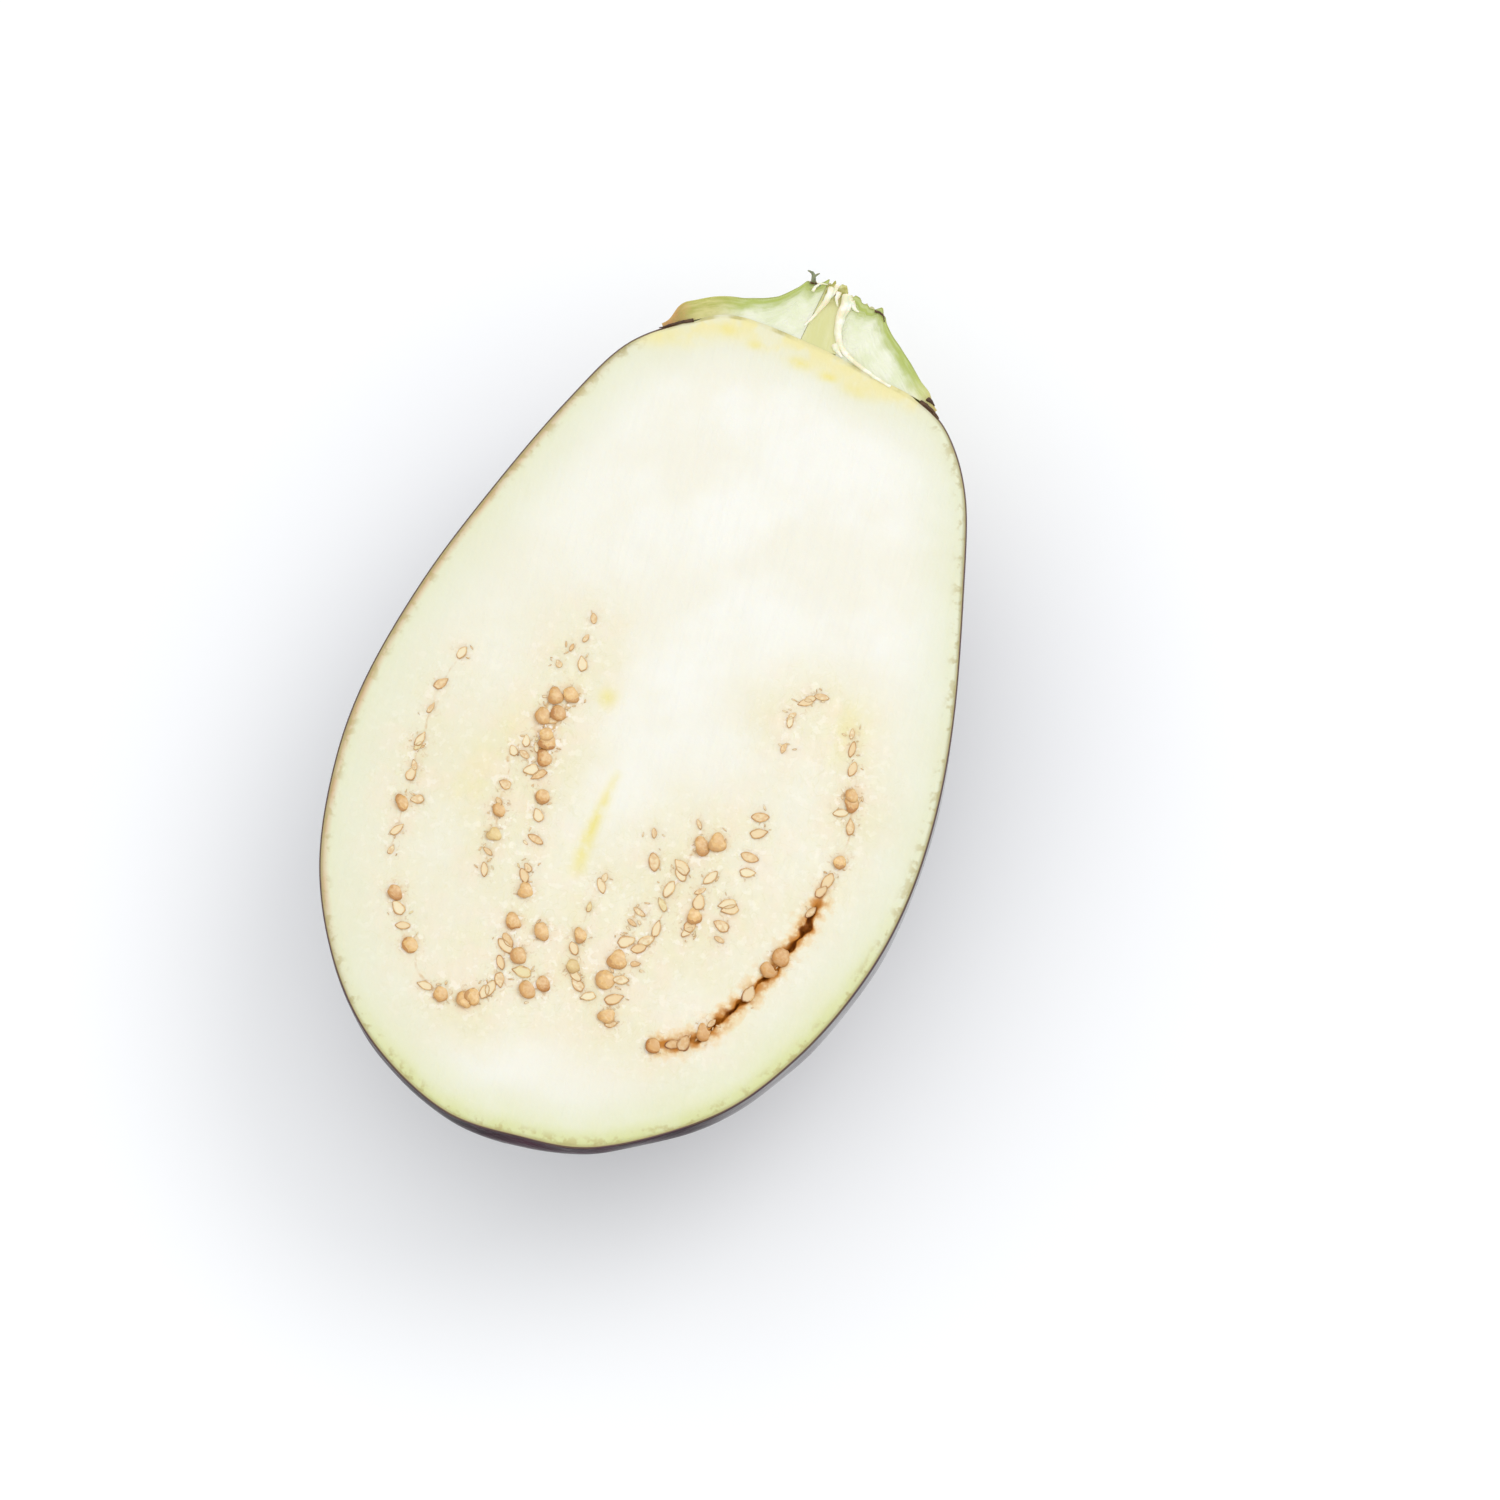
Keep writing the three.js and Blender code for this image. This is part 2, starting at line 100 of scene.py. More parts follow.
# Seeds, as in the part. A row is a path, the spread to both sides of it, the degrees between the
# path and the long way of the seeds, the size of the seeds, how faint they are, and evenly spaced
# slots: w holds a seed that the knife left whole, c one that it cut open, s one that it took a
# sliver from, and a dot is an empty slot.
SEED_ROWS = [
    ([(-33.9, 8.2), (-34.9, 5.0), (-35.8, 1.8), (-36.4, -2.5), (-36.7, -7.4), (-36.5, -11.1),
      (-36.2, -15.3), (-36.3, -20.1), (-36.2, -24.2), (-36.2, -27.7)],
     0.25, -10, 0.9, 0.15, "c...c..s..cs.sc..w..c.s"),
    ([(-34.3, -18.3), (-33.1, -18.4)],
     0, 25, 0.9, 0.2, "c."),
    ([(-33.3, -34.5), (-31.8, -37.6), (-30.6, -40.1), (-28.5, -42.6), (-24.4, -48.0),
      (-21.7, -49.3), (-17.6, -48.8), (-14.8, -47.3), (-13.1, -44.8), (-13.4, -42.1),
      (-13.3, -39.3), (-13.2, -34.3)],
     0.25, 45, 1, 0.1, "w.c.c.w....c.w..wwccc.c.cc.w"),
    ([(-8.0, -34.7), (-9.6, -37.4), (-11.1, -39.9), (-9.7, -42.3), (-7.7, -44.9), (-5.7, -43.1)],
     0.25, 50, 1, 0.1, "w...w.c.w.w"),
    ([(-14.5, 19.3), (-14.7, 15.3), (-13.9, 10.8)],
     0.2, 0, 0.85, 0.7, "s.s..c"),
    ([(-16.7, 13.5), (-17.9, 9.6)],
     0.2, 25, 0.8, 0.6, "s.s"),
    ([(-14.6, 5.8), (-15.3, 2.8), (-16.2, -1.4), (-16.0, -4.2), (-15.8, -6.1)],
     0.5, -55, 1, 0, "w..ws.ww.w"),
    ([(-16.9, 4.7), (-18.2, 0.0), (-17.8, -5.0)],
     0.5, 10, 0.95, 0, "w..w...s"),
    ([(-19.5, -3.9), (-21.5, -6.9), (-21.2, -11.8), (-20.9, -15.8), (-20.3, -20.4),
      (-20.4, -24.3), (-20.5, -27.0)],
     0.3, 45, 0.8, 0.15, "c.c...c.sw..w.s.c"),
    ([(-19.4, -6.5), (-17.6, -8.7), (-15.7, -9.5), (-14.5, -12.7), (-13.9, -16.6),
      (-13.5, -20.4), (-13.4, -23.9), (-13.7, -26.4), (-12.7, -28.6)],
     0.3, 45, 0.9, 0.35, "s.cc..w.c..c..sc.w"),
    ([(-0.7, -23.3), (-1.4, -25.2), (-2.1, -29.6), (-2.1, -33.8), (-2.2, -37.2), (-1.0, -40.8),
      (0.4, -42.9), (1.9, -43.2)],
     0.25, 20, 0.9, 0.2, "sc..s..w.c.wcc.c"),
    ([(6.2, -27.0), (5.2, -29.6), (5.4, -32.7), (4.9, -35.9), (4.0, -39.3), (5.6, -42.2),
      (5.8, -45.1), (6.7, -46.8)],
     0.4, -75, 1.05, 0.1, "s.s.c.w..w.c.ws"),
    ([(8.8, -31.6), (7.8, -33.8), (7.7, -36.1), (6.6, -39.3)],
     0.3, -55, 0.9, 0.35, "cc.s.c"),
    ([(15.7, -12.5), (13.1, -14.0), (11.4, -17.2), (11.1, -19.9), (9.9, -22.5), (9.8, -25.2),
      (9.8, -29.4)],
     0.3, 25, 1, 0.05, "w.w..cc.c.c..c"),
    ([(11.9, -10.2), (14.8, -14.2), (16.0, -17.9), (15.2, -22.0), (15.3, -25.3), (14.4, -28.9)],
     0.4, -25, 0.95, 0.25, "s.....c.sc.wcc"),
    ([(19.9, -22.2), (20.8, -23.8), (20.0, -26.5), (20.0, -28.9)],
     0.2, 70, 1, 0.3, "cc.c.s"),
    ([(5.0, -13.8), (6.5, -18.5)],
     0.2, 15, 0.95, 0.3, "s..c"),
    ([(21.4, -6.3), (21.4, -9.4), (21.6, -12.9), (21.6, -16.4)],
     0.4, -85, 0.95, 0.5, "c.c..c.c"),
    ([(22.0, 5.5), (21.6, 9.8), (22.6, 13.6), (25.6, 16.0)],
     0.2, -15, 0.8, 0.5, "s..cs.ccc"),
    ([(32.3, 11.2), (33.5, 5.9), (34.9, 0.9), (36.1, -5.3), (35.9, -10.1), (34.6, -14.2),
      (34.3, -16.5), (33.5, -20.4)],
     0.2, -10, 0.95, 0.2, "s.c.c..ww..c...w..cc..c"),
    ([(33.7, -2.6), (34.6, -2.2)],
     0, 0, 0.8, 0.4, "c."),
    ([(30.8, -28.3), (29.4, -31.1), (27.0, -36.7), (24.6, -39.9), (22.6, -42.5), (21.5, -44.4),
      (18.8, -47.0), (14.5, -48.5)],
     0.25, 25, 1, 0, "w.w..c....sw.cc.w"),
]
SEED_JITTER = 0.3  # how far a seed may slide along its row, over the spacing of the slots
SEED_SCATTER = 30  # degrees that a seed may turn from the way of its row, to either side
SEED_SIZE_SPREAD = 0.12  # how much larger or smaller than its row's size a seed may be
# How wide a seed is over its length, at least and at most, by how the knife met it.
SEED_PROPORTIONS = {"w": (0.76, 0.95), "c": (0.4, 0.6), "s": (0.26, 0.38), "b": (0.22, 0.45)}
SEED_LENGTHS = {"w": 0.93, "c": 0.9, "s": 0.62, "b": 1.0}  # over the full length
SEED_HALOS = {"w": 0.8, "c": 0.36, "s": 0.3}  # how strongly the flesh round a seed is stained
SEED_SOCKET = 0.13  # depth of the flesh under a seed
SHADY_WAY = math.radians(250)  # towards the side of most seeds on which shade is painted into the coat
SHADY_SCATTER = math.radians(60)
# Bits of torn coat round the seeds: how many a seed may have, how large, and how far away.
MOST_BITS = 3
BIT_SIZES = (0.12, 0.34)
BIT_REACH = (0.9, 2.3)

# ---------- marks on the cut face ----------

# The seed chamber on the lower right has opened into a groove and browned.
BROWN_GROOVE = [
    (35.3, -13.3), (34.3, -17.1), (34.2, -19.2), (33.4, -21.2), (33.4, -23.3), (32.0, -26.1),
    (31.5, -28.1), (30.4, -30.8), (28.8, -33.2), (27.7, -35.6), (26.1, -38.2), (24.6, -40.4),
    (23.0, -43.1), (21.3, -45.1), (18.8, -46.8), (16.0, -47.9), (13.4, -48.6),
]
GROOVE_DEPTH = 0.5
GROOVE_WIDTH = 0.38
STREAK_DEPTH = 0.2
RIM_DROP = 0.25  # how far the flesh has shrunk below the skin's edge
STAIN_REACH = 1.9  # of the stain round a seed
CHAMBER_REACH = 7.0  # of the moister flesh round the seeds
CALYX_LINE = (66.5, 70.5)  # between these the rim passes from the skin to the calyx
YELLOW_STREAK = [(-3.3, -4.9), (-4.6, -12.3), (-5.4, -18.7), (-5.4, -24.9)]
# Yellow patches: middle, reach to the sides and lengthwise, and strength.
YELLOW_PATCHES = [
    ((31.5, 11.0), (3.4, 5.0), 0.45), ((-8.5, 6.6), (1.6, 1.8), 0.7), ((-15.0, 71.0), (3.5, 1.8), 0.5),
    ((-6.2, 74.4), (2.0, 1.1), 1.0), ((-1.0, 73.0), (1.2, 0.8), 0.8), ((7.2, 71.8), (1.8, 1.0), 1.0),
    ((12.6, 70.6), (1.6, 0.9), 1.0), ((18.0, 69.6), (3.2, 1.4), 0.7), ((-22.0, -1.0), (3.0, 5.0), 0.25),
    ((-26.0, -12.0), (3.0, 6.0), 0.35),
]

# ---------- calyx and stalk, as in the part ----------

# Height above the fruit over the distance from the stalk's middle, along the two cut edges.
CALYX_RIGHT = [
    (3.3, 11.3), (6.4, 10.9), (7.7, 9.6), (9.6, 8.3), (12.1, 7.1), (15.4, 5.0), (18.1, 3.0),
    (21.0, 1.8),
]
CALYX_LEFT = [
    (3.3, 11.3), (6.4, 10.3), (7.8, 8.0), (9.5, 5.8), (11.5, 4.6), (14.3, 3.6), (22.9, 3.6),
    (27.0, 1.6),
]
CALYX_EDGE_THICKNESS = 1.0
# Reach from the stalk's middle at angles from the right cut edge round to the left: out to the
# tip of a lobe, and back to the notch between two lobes.
CALYX_REACH = [
    (0, 22.8), (9, 21.5), (36, 41.0), (63, 25.0), (90, 44.0), (117, 25.5), (144, 42.0),
    (171, 25.5), (180, 27.6),
]
LOBE_TIPS = (36, 90, 144)
LOBE_SHARPNESS = 1.35
TIP_LIFT = 1.6
RIB_HEIGHT = 0.7
RIB_WIDTH = 7
CALYX_INNER = 3.3  # distance where the calyx meets the stalk
STALK_LEAN = math.radians(3)  # to the right of +Y
STALK_WAY = np.array([math.sin(STALK_LEAN), math.cos(STALK_LEAN), 0.0])
STALK_ACROSS = np.array([math.cos(STALK_LEAN), -math.sin(STALK_LEAN), 0.0])
STALK_RADIUS = 3.25
STALK_HEIGHT = 11.6


# ---------- curves, noise and grids ----------

def srgb(code):
    """A colour written as six hex digits, as the linear values that Blender works in."""
    levels = [int(code[n:n + 2], 16) / 255 for n in (0, 2, 4)]
    return tuple(v / 12.92 if v <= 0.04045 else ((v + 0.055) / 1.055) ** 2.4 for v in levels)


def smoothstep(value, low, high):
    share = np.clip((value - low) / (high - low), 0.0, 1.0)
    return share * share * (3.0 - 2.0 * share)


def smooth_curve(points, t, closed=False):
    """Points and directions at t, from 0 to 1, on a smooth curve through the given points."""
    points = np.asarray(points, float)
    count = len(points)
    spans = count if closed else count - 1
    position = (t % 1.0 if closed else np.clip(t, 0.0, 1.0)) * spans
    first = np.minimum(np.floor(position).astype(int), spans - 1)
    share = (position - first)[..., None]
    if closed:
        before, start, end, after = (points[(first + n) % count] for n in (-1, 0, 1, 2))
    else:
        padded = np.vstack([2 * points[0] - points[1], points, 2 * points[-1] - points[-2]])
        before, start, end, after = (padded[first + n] for n in range(4))
    out = (end - before) / 2
    into = (after - start) / 2
    cubic = 2 * start - 2 * end + out + into
    square = 3 * end - 3 * start - 2 * out - into
    place = ((cubic * share + square) * share + out) * share + start
    slope = (3 * cubic * share + 2 * square) * share + out
    return place, slope / np.linalg.norm(slope, axis=-1, keepdims=True)


def lengths_along(points):
    """Distance from the first point of a path to each of its points, along the path."""
    steps = np.linalg.norm(np.diff(points, axis=0), axis=-1)
    return np.concatenate([np.zeros((1, *steps.shape[1:])), np.cumsum(steps, axis=0)])


def evenly_along(points, shares, samples=200):
    """The t values that lie at the given shares of an open curve's length."""
    t = np.linspace(0.0, 1.0, samples + 1)
    places, _ = smooth_curve(points, t)
    lengths = lengths_along(places)
    return np.interp(np.asarray(shares) * lengths[-1], lengths, t)


def waviness(points, size, seed, waves=28):
    """A smooth random field with a spread of about 1, whose swells are about size apart."""
    draw = np.random.default_rng(seed)
    ways = draw.normal(size=(waves, points.shape[-1]))
    ways /= np.linalg.norm(ways, axis=1, keepdims=True)
    pitch = 2 * math.pi / (np.asarray(size) * draw.uniform(0.7, 1.6, (waves, 1)))
    phases = draw.uniform(0, 2 * math.pi, waves)
    field = np.zeros(points.shape[:-1])
    for way, phase in zip(ways * pitch, phases):
        field += np.cos(points @ way + phase)
    return field * math.sqrt(2 / waves)


def offset_from(points, path, samples=60):
    """Signed distance of each point from a smooth path, and its place along it from 0 to 1."""
    route, _ = smooth_curve(path, np.linspace(0, 1, samples + 1))
    best = np.full(points.shape[:-1], np.inf)
    signed = np.zeros_like(best)
    along = np.zeros_like(best)
    for n, (start, end) in enumerate(zip(route[:-1], route[1:])):
        run = end - start
        length = np.linalg.norm(run)
        run = run / length
        reach = points - start
        place = reach @ run
        away = reach[..., 0] * run[1] - reach[..., 1] * run[0]
        distance = np.hypot(away, place - np.clip(place, 0, length))
        nearer = distance < best
        best = np.where(nearer, distance, best)
        signed = np.where(nearer, np.copysign(distance, away), signed)
        along = np.where(nearer, (n + np.clip(place / length, 0, 1)) / samples, along)
    return signed, along


def build_piece(name, sheets, materials):
    """One closed mesh from sheets whose edges meet. A sheet is a grid of points, the number of
    its material, and grids of the values that the material reads."""
    marks = sorted({mark for _, _, values in sheets for mark in values})
    points = []
    faces = []
    numbers = []
    read = {mark: [] for mark in marks}
    start = 0
    for grid, number, values in sheets:
        rows, columns = grid.shape[:2]
        index = start + np.arange(rows * columns).reshape(rows, columns)
        quads = np.stack([index[:-1, :-1], index[:-1, 1:], index[1:, 1:], index[1:, :-1]], -1)
        points.append(grid.reshape(-1, 3) * MM)
        faces.append(quads.reshape(-1, 4))
        numbers.append(np.full(faces[-1].shape[0], number))
        for mark in marks:
            value = np.broadcast_to(values.get(mark, 0.0), (rows, columns))
            read[mark].append(value.reshape(-1))
        start += rows * columns
    mesh = bpy.data.meshes.new(name)
    mesh.from_pydata(np.concatenate(points).tolist(), [], np.concatenate(faces).tolist())
    mesh.polygons.foreach_set("material_index", np.concatenate(numbers))
    write_marks(mesh, {mark: np.concatenate(values) for mark, values in read.items()})
    weld(mesh)
    mesh.polygons.foreach_set("use_smooth", np.ones(len(mesh.polygons), bool))
    mesh.set_sharp_from_angle(angle=SHARP_ANGLE)
    for material in materials:
        mesh.materials.append(material)
    return add_object(name, mesh)


def add_object(name, data):
    made = bpy.data.objects.new(name, data)
    bpy.context.scene.collection.objects.link(made)
    return made


def write_marks(mesh, marks, kind="FLOAT"):
    """Stores a value, or a vector, for each point of a mesh, for node trees to read."""
    number = np.int32 if kind == "INT" else np.float32
    field = "vector" if kind == "FLOAT_VECTOR" else "value"
    for mark, values in marks.items():
        data = mesh.attributes.new(mark, kind, "POINT").data
        data.foreach_set(field, np.ravel(values).astype(number))


def marks_at(marks, where):
    """The marks of one row or column of a sheet."""
    return {mark: value[where] for mark, value in marks.items()}


def weld(mesh, reach=WELD_REACH):
    """Joins the points that lie together, drops empty faces and turns the rest outwards."""
    work = bmesh.new()
    work.from_mesh(mesh)
    bmesh.ops.remove_doubles(work, verts=work.verts, dist=reach)
    bmesh.ops.dissolve_degenerate(work, edges=work.edges, dist=reach)
    bmesh.ops.recalc_face_normals(work, faces=work.faces)
    work.to_mesh(mesh)
    work.free()


def settle(piece, slot, *nodes):
    """Puts a finished piece on the object's one body and hides the part nodes that it replaces."""
    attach(piece, "root")
    if nodes:
        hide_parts(*nodes)


# ---------- the fruit ----------

def rim_point(station, side, inset=0.0):
    """A point of the rim, on the right (side 1) or the left (side -1), moved inwards."""
    place, way = smooth_curve(RIM, np.asarray(station) * side / len(RIM), closed=True)
    inwards = np.stack([-way[..., 1], way[..., 0]], -1)
    return place + inwards * np.asarray(inset)[..., None]


def fruit_point(station, angle, inset=0.0):
    """A point of the fruit's surface. Each cross-section is half an ellipse that hangs from the
    line between the two rim points of its station; angle 0 is the right cut edge."""
    right = rim_point(station, 1, inset)
    left = rim_point(station, -1, inset)
    middle = (right + left) / 2
    half = (right - left) / 2
    depth = np.linalg.norm(half, axis=-1) * (DEPTH_RATIO + DEPTH_GROWTH * middle[..., 1])
    place = middle + half * np.cos(angle)[..., None]
    height = np.maximum(CUT_HEIGHT - np.sin(angle) * depth, inset)
    return np.concatenate([place, height[..., None]], -1)


def surface(station, angle):
    """Points of the fruit's surface, and the ways straight out of it."""
    base = fruit_point(station, angle, np.zeros_like(station))
    out = fruit_point(station, angle, np.full_like(station, -1.0)) - base
    return base, out / np.linalg.norm(out, axis=-1, keepdims=True)


def even_stations(last, count):
    """Stations whose rim points are evenly spaced along the rim, from the blossom end."""
    fine = np.linspace(0, last, 1200)
    steps = sum(np.linalg.norm(np.diff(rim_point(fine, side), axis=0), axis=1) for side in (1, -1))
    lengths = np.concatenate([[0.0], np.cumsum(steps)])
    return np.interp(np.linspace(0, lengths[-1], count + 1), lengths, fine)


def random_source(seed):
    """Numbers from 0 to 1 that are the same each run, and the same as in the part."""
    state = seed
    while True:
        state = (state * 1664525 + 1013904223) % 4294967296
        yield state / 4294967296


def seed_places(settings):
    """Where each seed lies, as (x, y, turn, size, how it was cut, how faint it is)."""
    numbers = random_source(settings.random_seed)
    around = lambda spread: (2 * next(numbers) - 1) * spread
    places = []
    for path, spread, row_turn, row_size, faint, slots in SEED_ROWS:
        last = len(slots) - 1
        for n, cut in enumerate(slots):
            if cut == ".":
                continue
            share = min(max((n + around(SEED_JITTER)) / last, 0.0), 1.0)
            point, way = smooth_curve(path, evenly_along(path, [share]))
            aside = around(spread)
            turn = math.atan2(way[0, 1], way[0, 0])
            turn += math.radians(row_turn + around(SEED_SCATTER))
            size = row_size * (1 + around(SEED_SIZE_SPREAD))
            x = point[0, 0] - way[0, 1] * aside
            y = point[0, 1] + way[0, 0] * aside
            places.append((x, y, turn, size, cut, faint))
    return places


def face_relief(points, seeds, rim):
    """Height of the cut face above level, in millimetres, and what colours it."""
    x, y = points[..., 0], points[..., 1]
    stained = np.zeros(points.shape[:-1])
    seeded = np.zeros_like(stained)
    level = np.zeros_like(stained)
    contact = np.zeros_like(stained)
    for seed_x, seed_y, _, size, cut, faint in seeds:
        square = (x - seed_x) ** 2 + (y - seed_y) ** 2
        shown = SEED_HALOS[cut] * (1 - 0.7 * faint)
        stained = 1 - (1 - stained) * (1 - shown * np.exp(-square / STAIN_REACH ** 2))
        seeded = 1 - (1 - seeded) * (1 - 0.3 * np.exp(-square / CHAMBER_REACH ** 2))
        reach = size * (1.75 if cut == "w" else 1.45)
        contact = np.maximum(contact, shown * np.exp(-(square / reach ** 2) ** 2))
        level = np.maximum(level, np.exp(-square ** 2 / (1.9 * size) ** 4))
    groove, ends, core, open_width = groove_marks(points)
    depth = GROOVE_DEPTH * core * (1 - smoothstep(np.abs(groove), 0.0, open_width))
    streak, streak_along = offset_from(points, YELLOW_STREAK)
    streak_ends = np.sin(math.pi * np.clip(streak_along, 0, 1)) ** 0.5
    yellow = 0.9 * streak_ends * np.exp(-(streak / (0.7 + 0.7 * streak_along)) ** 2)
    for (patch_x, patch_y), (wide, long), strength in YELLOW_PATCHES:
        patch = np.exp(-((x - patch_x) / wide) ** 2 - ((y - patch_y) / long) ** 2)
        yellow = np.maximum(yellow, strength * patch)
    strand = np.full_like(stained, 9.0)
    for path, *_, faint, _ in SEED_ROWS:
        away, _ = offset_from(points, path)
        away = np.abs(away + 0.25 * waviness(points, 5.0, 17)) + 0.7 * faint
        strand = np.minimum(strand, away)
    under_calyx = smoothstep(y, *CALYX_LINE)
    fibres = waviness(points * (1.0, 0.07), 1.3, 13)
    relief = 0.03 * waviness(points, 5.0, 15) + 0.02 * fibres
    relief += 0.09 * seeded * waviness(points, 2.6, 16)
    relief = relief * (1 - level) - SEED_SOCKET * level
    relief += 0.11 * waviness(points, 26.0, 14) - STREAK_DEPTH * streak_ends * yellow - depth
    relief -= RIM_DROP * (1 - under_calyx) * np.exp(-(rim / 0.5) ** 2)
    skinned = 1 - under_calyx
    marks = {
        "rim": rim, "stained": stained, "seeded": seeded, "yellow": yellow,
        "contact": contact, "groove": groove, "groove_ends": ends, "groove_core": core,
        "groove_width": open_width,
        "sunned": skinned * np.maximum(smoothstep(0.45 * x - y, 22.0, 60.0), 0.25),
        "blushed": skinned * (1 - smoothstep(x, -40.0, -12.0)) * smoothstep(y, -58.0, -30.0),
        # Painted shade: the cut face grows darker towards the left, away from the main lamp.
        "shaded": 1 - smoothstep(x, -48.0, 0.0),
        "under_calyx": under_calyx, "strand": strand,
    }
    return relief * smoothstep(rim, -0.1, 0.5), marks


def groove_marks(points):
    """Distance from the middle of the brown groove, how near its stain and its open core are, and
    how wide it is open."""
    groove, along = offset_from(points, BROWN_GROOVE)
    ends = smoothstep(along, 0.0, 0.1) * (1 - smoothstep(along, 0.985, 1.0))
    core = smoothstep(along, 0.04, 0.2) * (1 - smoothstep(along, 0.74, 0.9))
    groove = groove + 0.22 * waviness(points, 3.0, 11)
    width = GROOVE_WIDTH * (1 + 0.5 * waviness(points, 3.2, 12))
    return groove, ends, core, np.maximum(width, 0.16)


# ---------- materials ----------

class NodeBench:
    """Adds nodes to one node tree in short lines. A value that is a socket is linked, and a colour
    may be six hex digits."""

    def __init__(self, tree):
        self.tree = tree

    def node(self, kind, values=None, **settings):
        made = self.tree.nodes.new(kind)
        for name, value in settings.items():
            setattr(made, name, value)
        for socket, value in (values or {}).items():
            self.feed(made.inputs[socket], value)
        return made

    def feed(self, socket, value):
        if isinstance(value, bpy.types.NodeSocket):
            self.tree.links.new(value, socket)
            return
        if socket.type == "RGBA":
            value = (*(srgb(value) if isinstance(value, str) else value), 1.0)
        socket.default_value = value

    def attribute(self, name, output="Fac"):
        return self.node("ShaderNodeAttribute", attribute_name=name).outputs[output]

    def math(self, operation, *values, clamp=False):
        made = self.node("ShaderNodeMath", operation=operation, use_clamp=clamp)
        for socket, value in zip(made.inputs, values):
            self.feed(socket, value)
        return made.outputs[0]

    def times(self, first, second, clamp=False):
        return self.math("MULTIPLY", first, second, clamp=clamp)

    def vector_math(self, operation, *values, **named):
        made = self.node("ShaderNodeVectorMath", named, operation=operation)
        for socket, value in zip(made.inputs, values):
            self.feed(socket, value)
        return made.outputs["Value" if operation == "LENGTH" else "Vector"]

    def between(self, value, low, high, start=0.0, end=1.0):
        """Runs smoothly from start to end while the value goes from low to high."""
        values = {"Value": value, "From Min": low, "From Max": high, "To Min": start, "To Max": end}
        made = self.node("ShaderNodeMapRange", values, interpolation_type="SMOOTHSTEP")
        return made.outputs["Result"]

    def ramp(self, share, start, end):
        """Runs smoothly from start to end while a share goes from 0 to 1."""
        return self.between(share, 0.0, 1.0, start, end)

    def mix(self, share, first, second):
        made = self.node("ShaderNodeMix", data_type="RGBA")
        for number, value in ((0, share), (6, first), (7, second)):
            self.feed(made.inputs[number], value)
        return made.outputs[2]

    def position(self, stretch=(1, 1, 1)):
        """Object coordinates in millimetres, squeezed along each axis by the stretch."""
        object_coordinates = self.node("ShaderNodeTexCoord").outputs["Object"]
        scale = tuple(1 / MM / part for part in stretch)
        values = {"Vector": object_coordinates, "Scale": scale}
        return self.node("ShaderNodeMapping", values).outputs["Vector"]

    def group(self, tree, **values):
        made = self.node("ShaderNodeGroup", node_tree=tree)
        for name, value in values.items():
            self.feed(made.inputs[name.capitalize()], value)
        return made.outputs[0]


def start_tree(name, kind, inputs, output):
    """A bench with a new node group, and the sockets of its inputs. An input is its name, its kind
    of socket and its default."""
    tree = bpy.data.node_groups.new(name, kind)
    for label, socket_kind, default in inputs:
        socket = tree.interface.new_socket(name=label, in_out="INPUT", socket_type=socket_kind)
        if default is not None:
            socket.default_value = default
    label, socket_kind = output
    tree.interface.new_socket(name=label, in_out="OUTPUT", socket_type=socket_kind)
    bench = NodeBench(tree)
    return bench, bench.node("NodeGroupInput").outputs


def mottle_group():
    """Soft patches: noise of a given size, cut off below one level and full above another."""
    name = "Mottle"
    if name in bpy.data.node_groups:
        return bpy.data.node_groups[name]
    numbers = {"Size": 5.0, "Detail": 4.0, "Twist": 0.0, "Low": 0.4, "High": 0.6}
    inputs = [("Position", "NodeSocketVector", None)]
    inputs += [(label, "NodeSocketFloat", default) for label, default in numbers.items()]
    bench, given = start_tree(name, "ShaderNodeTree", inputs, ("Mask", "NodeSocketFloat"))
    values = {
        "Vector": given["Position"], "Scale": bench.math("DIVIDE", 1.0, given["Size"]),
        "Detail": given["Detail"], "Distortion": given["Twist"],
    }
    noise = bench.node("ShaderNodeTexNoise", values).outputs["Fac"]
    mask = bench.between(noise, given["Low"], given["High"])
    bench.node("NodeGroupOutput", {"Mask": mask})
    return bench.tree


class MaterialBench(NodeBench):
    """A material with one Principled shader, painted in layers from the lowest up."""

    def __init__(self, name, **plain):
        self.material = bpy.data.materials.new(name)
        self.material.use_nodes = True
        super().__init__(self.material.node_tree)
        self.tree.nodes.clear()
        self.shader = self.node("ShaderNodeBsdfPrincipled")
        for socket, value in plain.items():
            self.shader_input(socket).default_value = value
        self.node("ShaderNodeOutputMaterial", {"Surface": self.shader.outputs["BSDF"]})
        self.even = self.position()
        self.colour = None

    def shader_input(self, name):
        return self.shader.inputs[name.replace("_", " ").title().replace("Ior", "IOR")]

    def mottle(self, position=None, **values):
        """Soft patches, of a size in millimetres."""
        position = self.even if position is None else position
        return self.group(mottle_group(), position=position, **values)

    def paint(self, over, share, strength=1.0):
        """Lays a colour over what is painted so far, as far as the share and the strength say."""
        if strength != 1.0:
            share = self.times(share, strength)
        self.colour = self.mix(share, self.colour, over)

    def finish(self, *bumps, **sockets):
        """Feeds the colour, the bumps and what else varies to the shader. A bump is its height,
        from 0 to 1, and its depth in millimetres."""
        for height, depth in bumps:
            values = {"Height": height, "Distance": depth * MM, "Strength": 1.0}
            if "normal" in sockets:
                values["Normal"] = sockets["normal"]
            sockets["normal"] = self.node("ShaderNodeBump", values).outputs["Normal"]
        for name, value in {"base_color": self.colour, **sockets}.items():
            self.feed(self.shader_input(name), value)
        return self.material


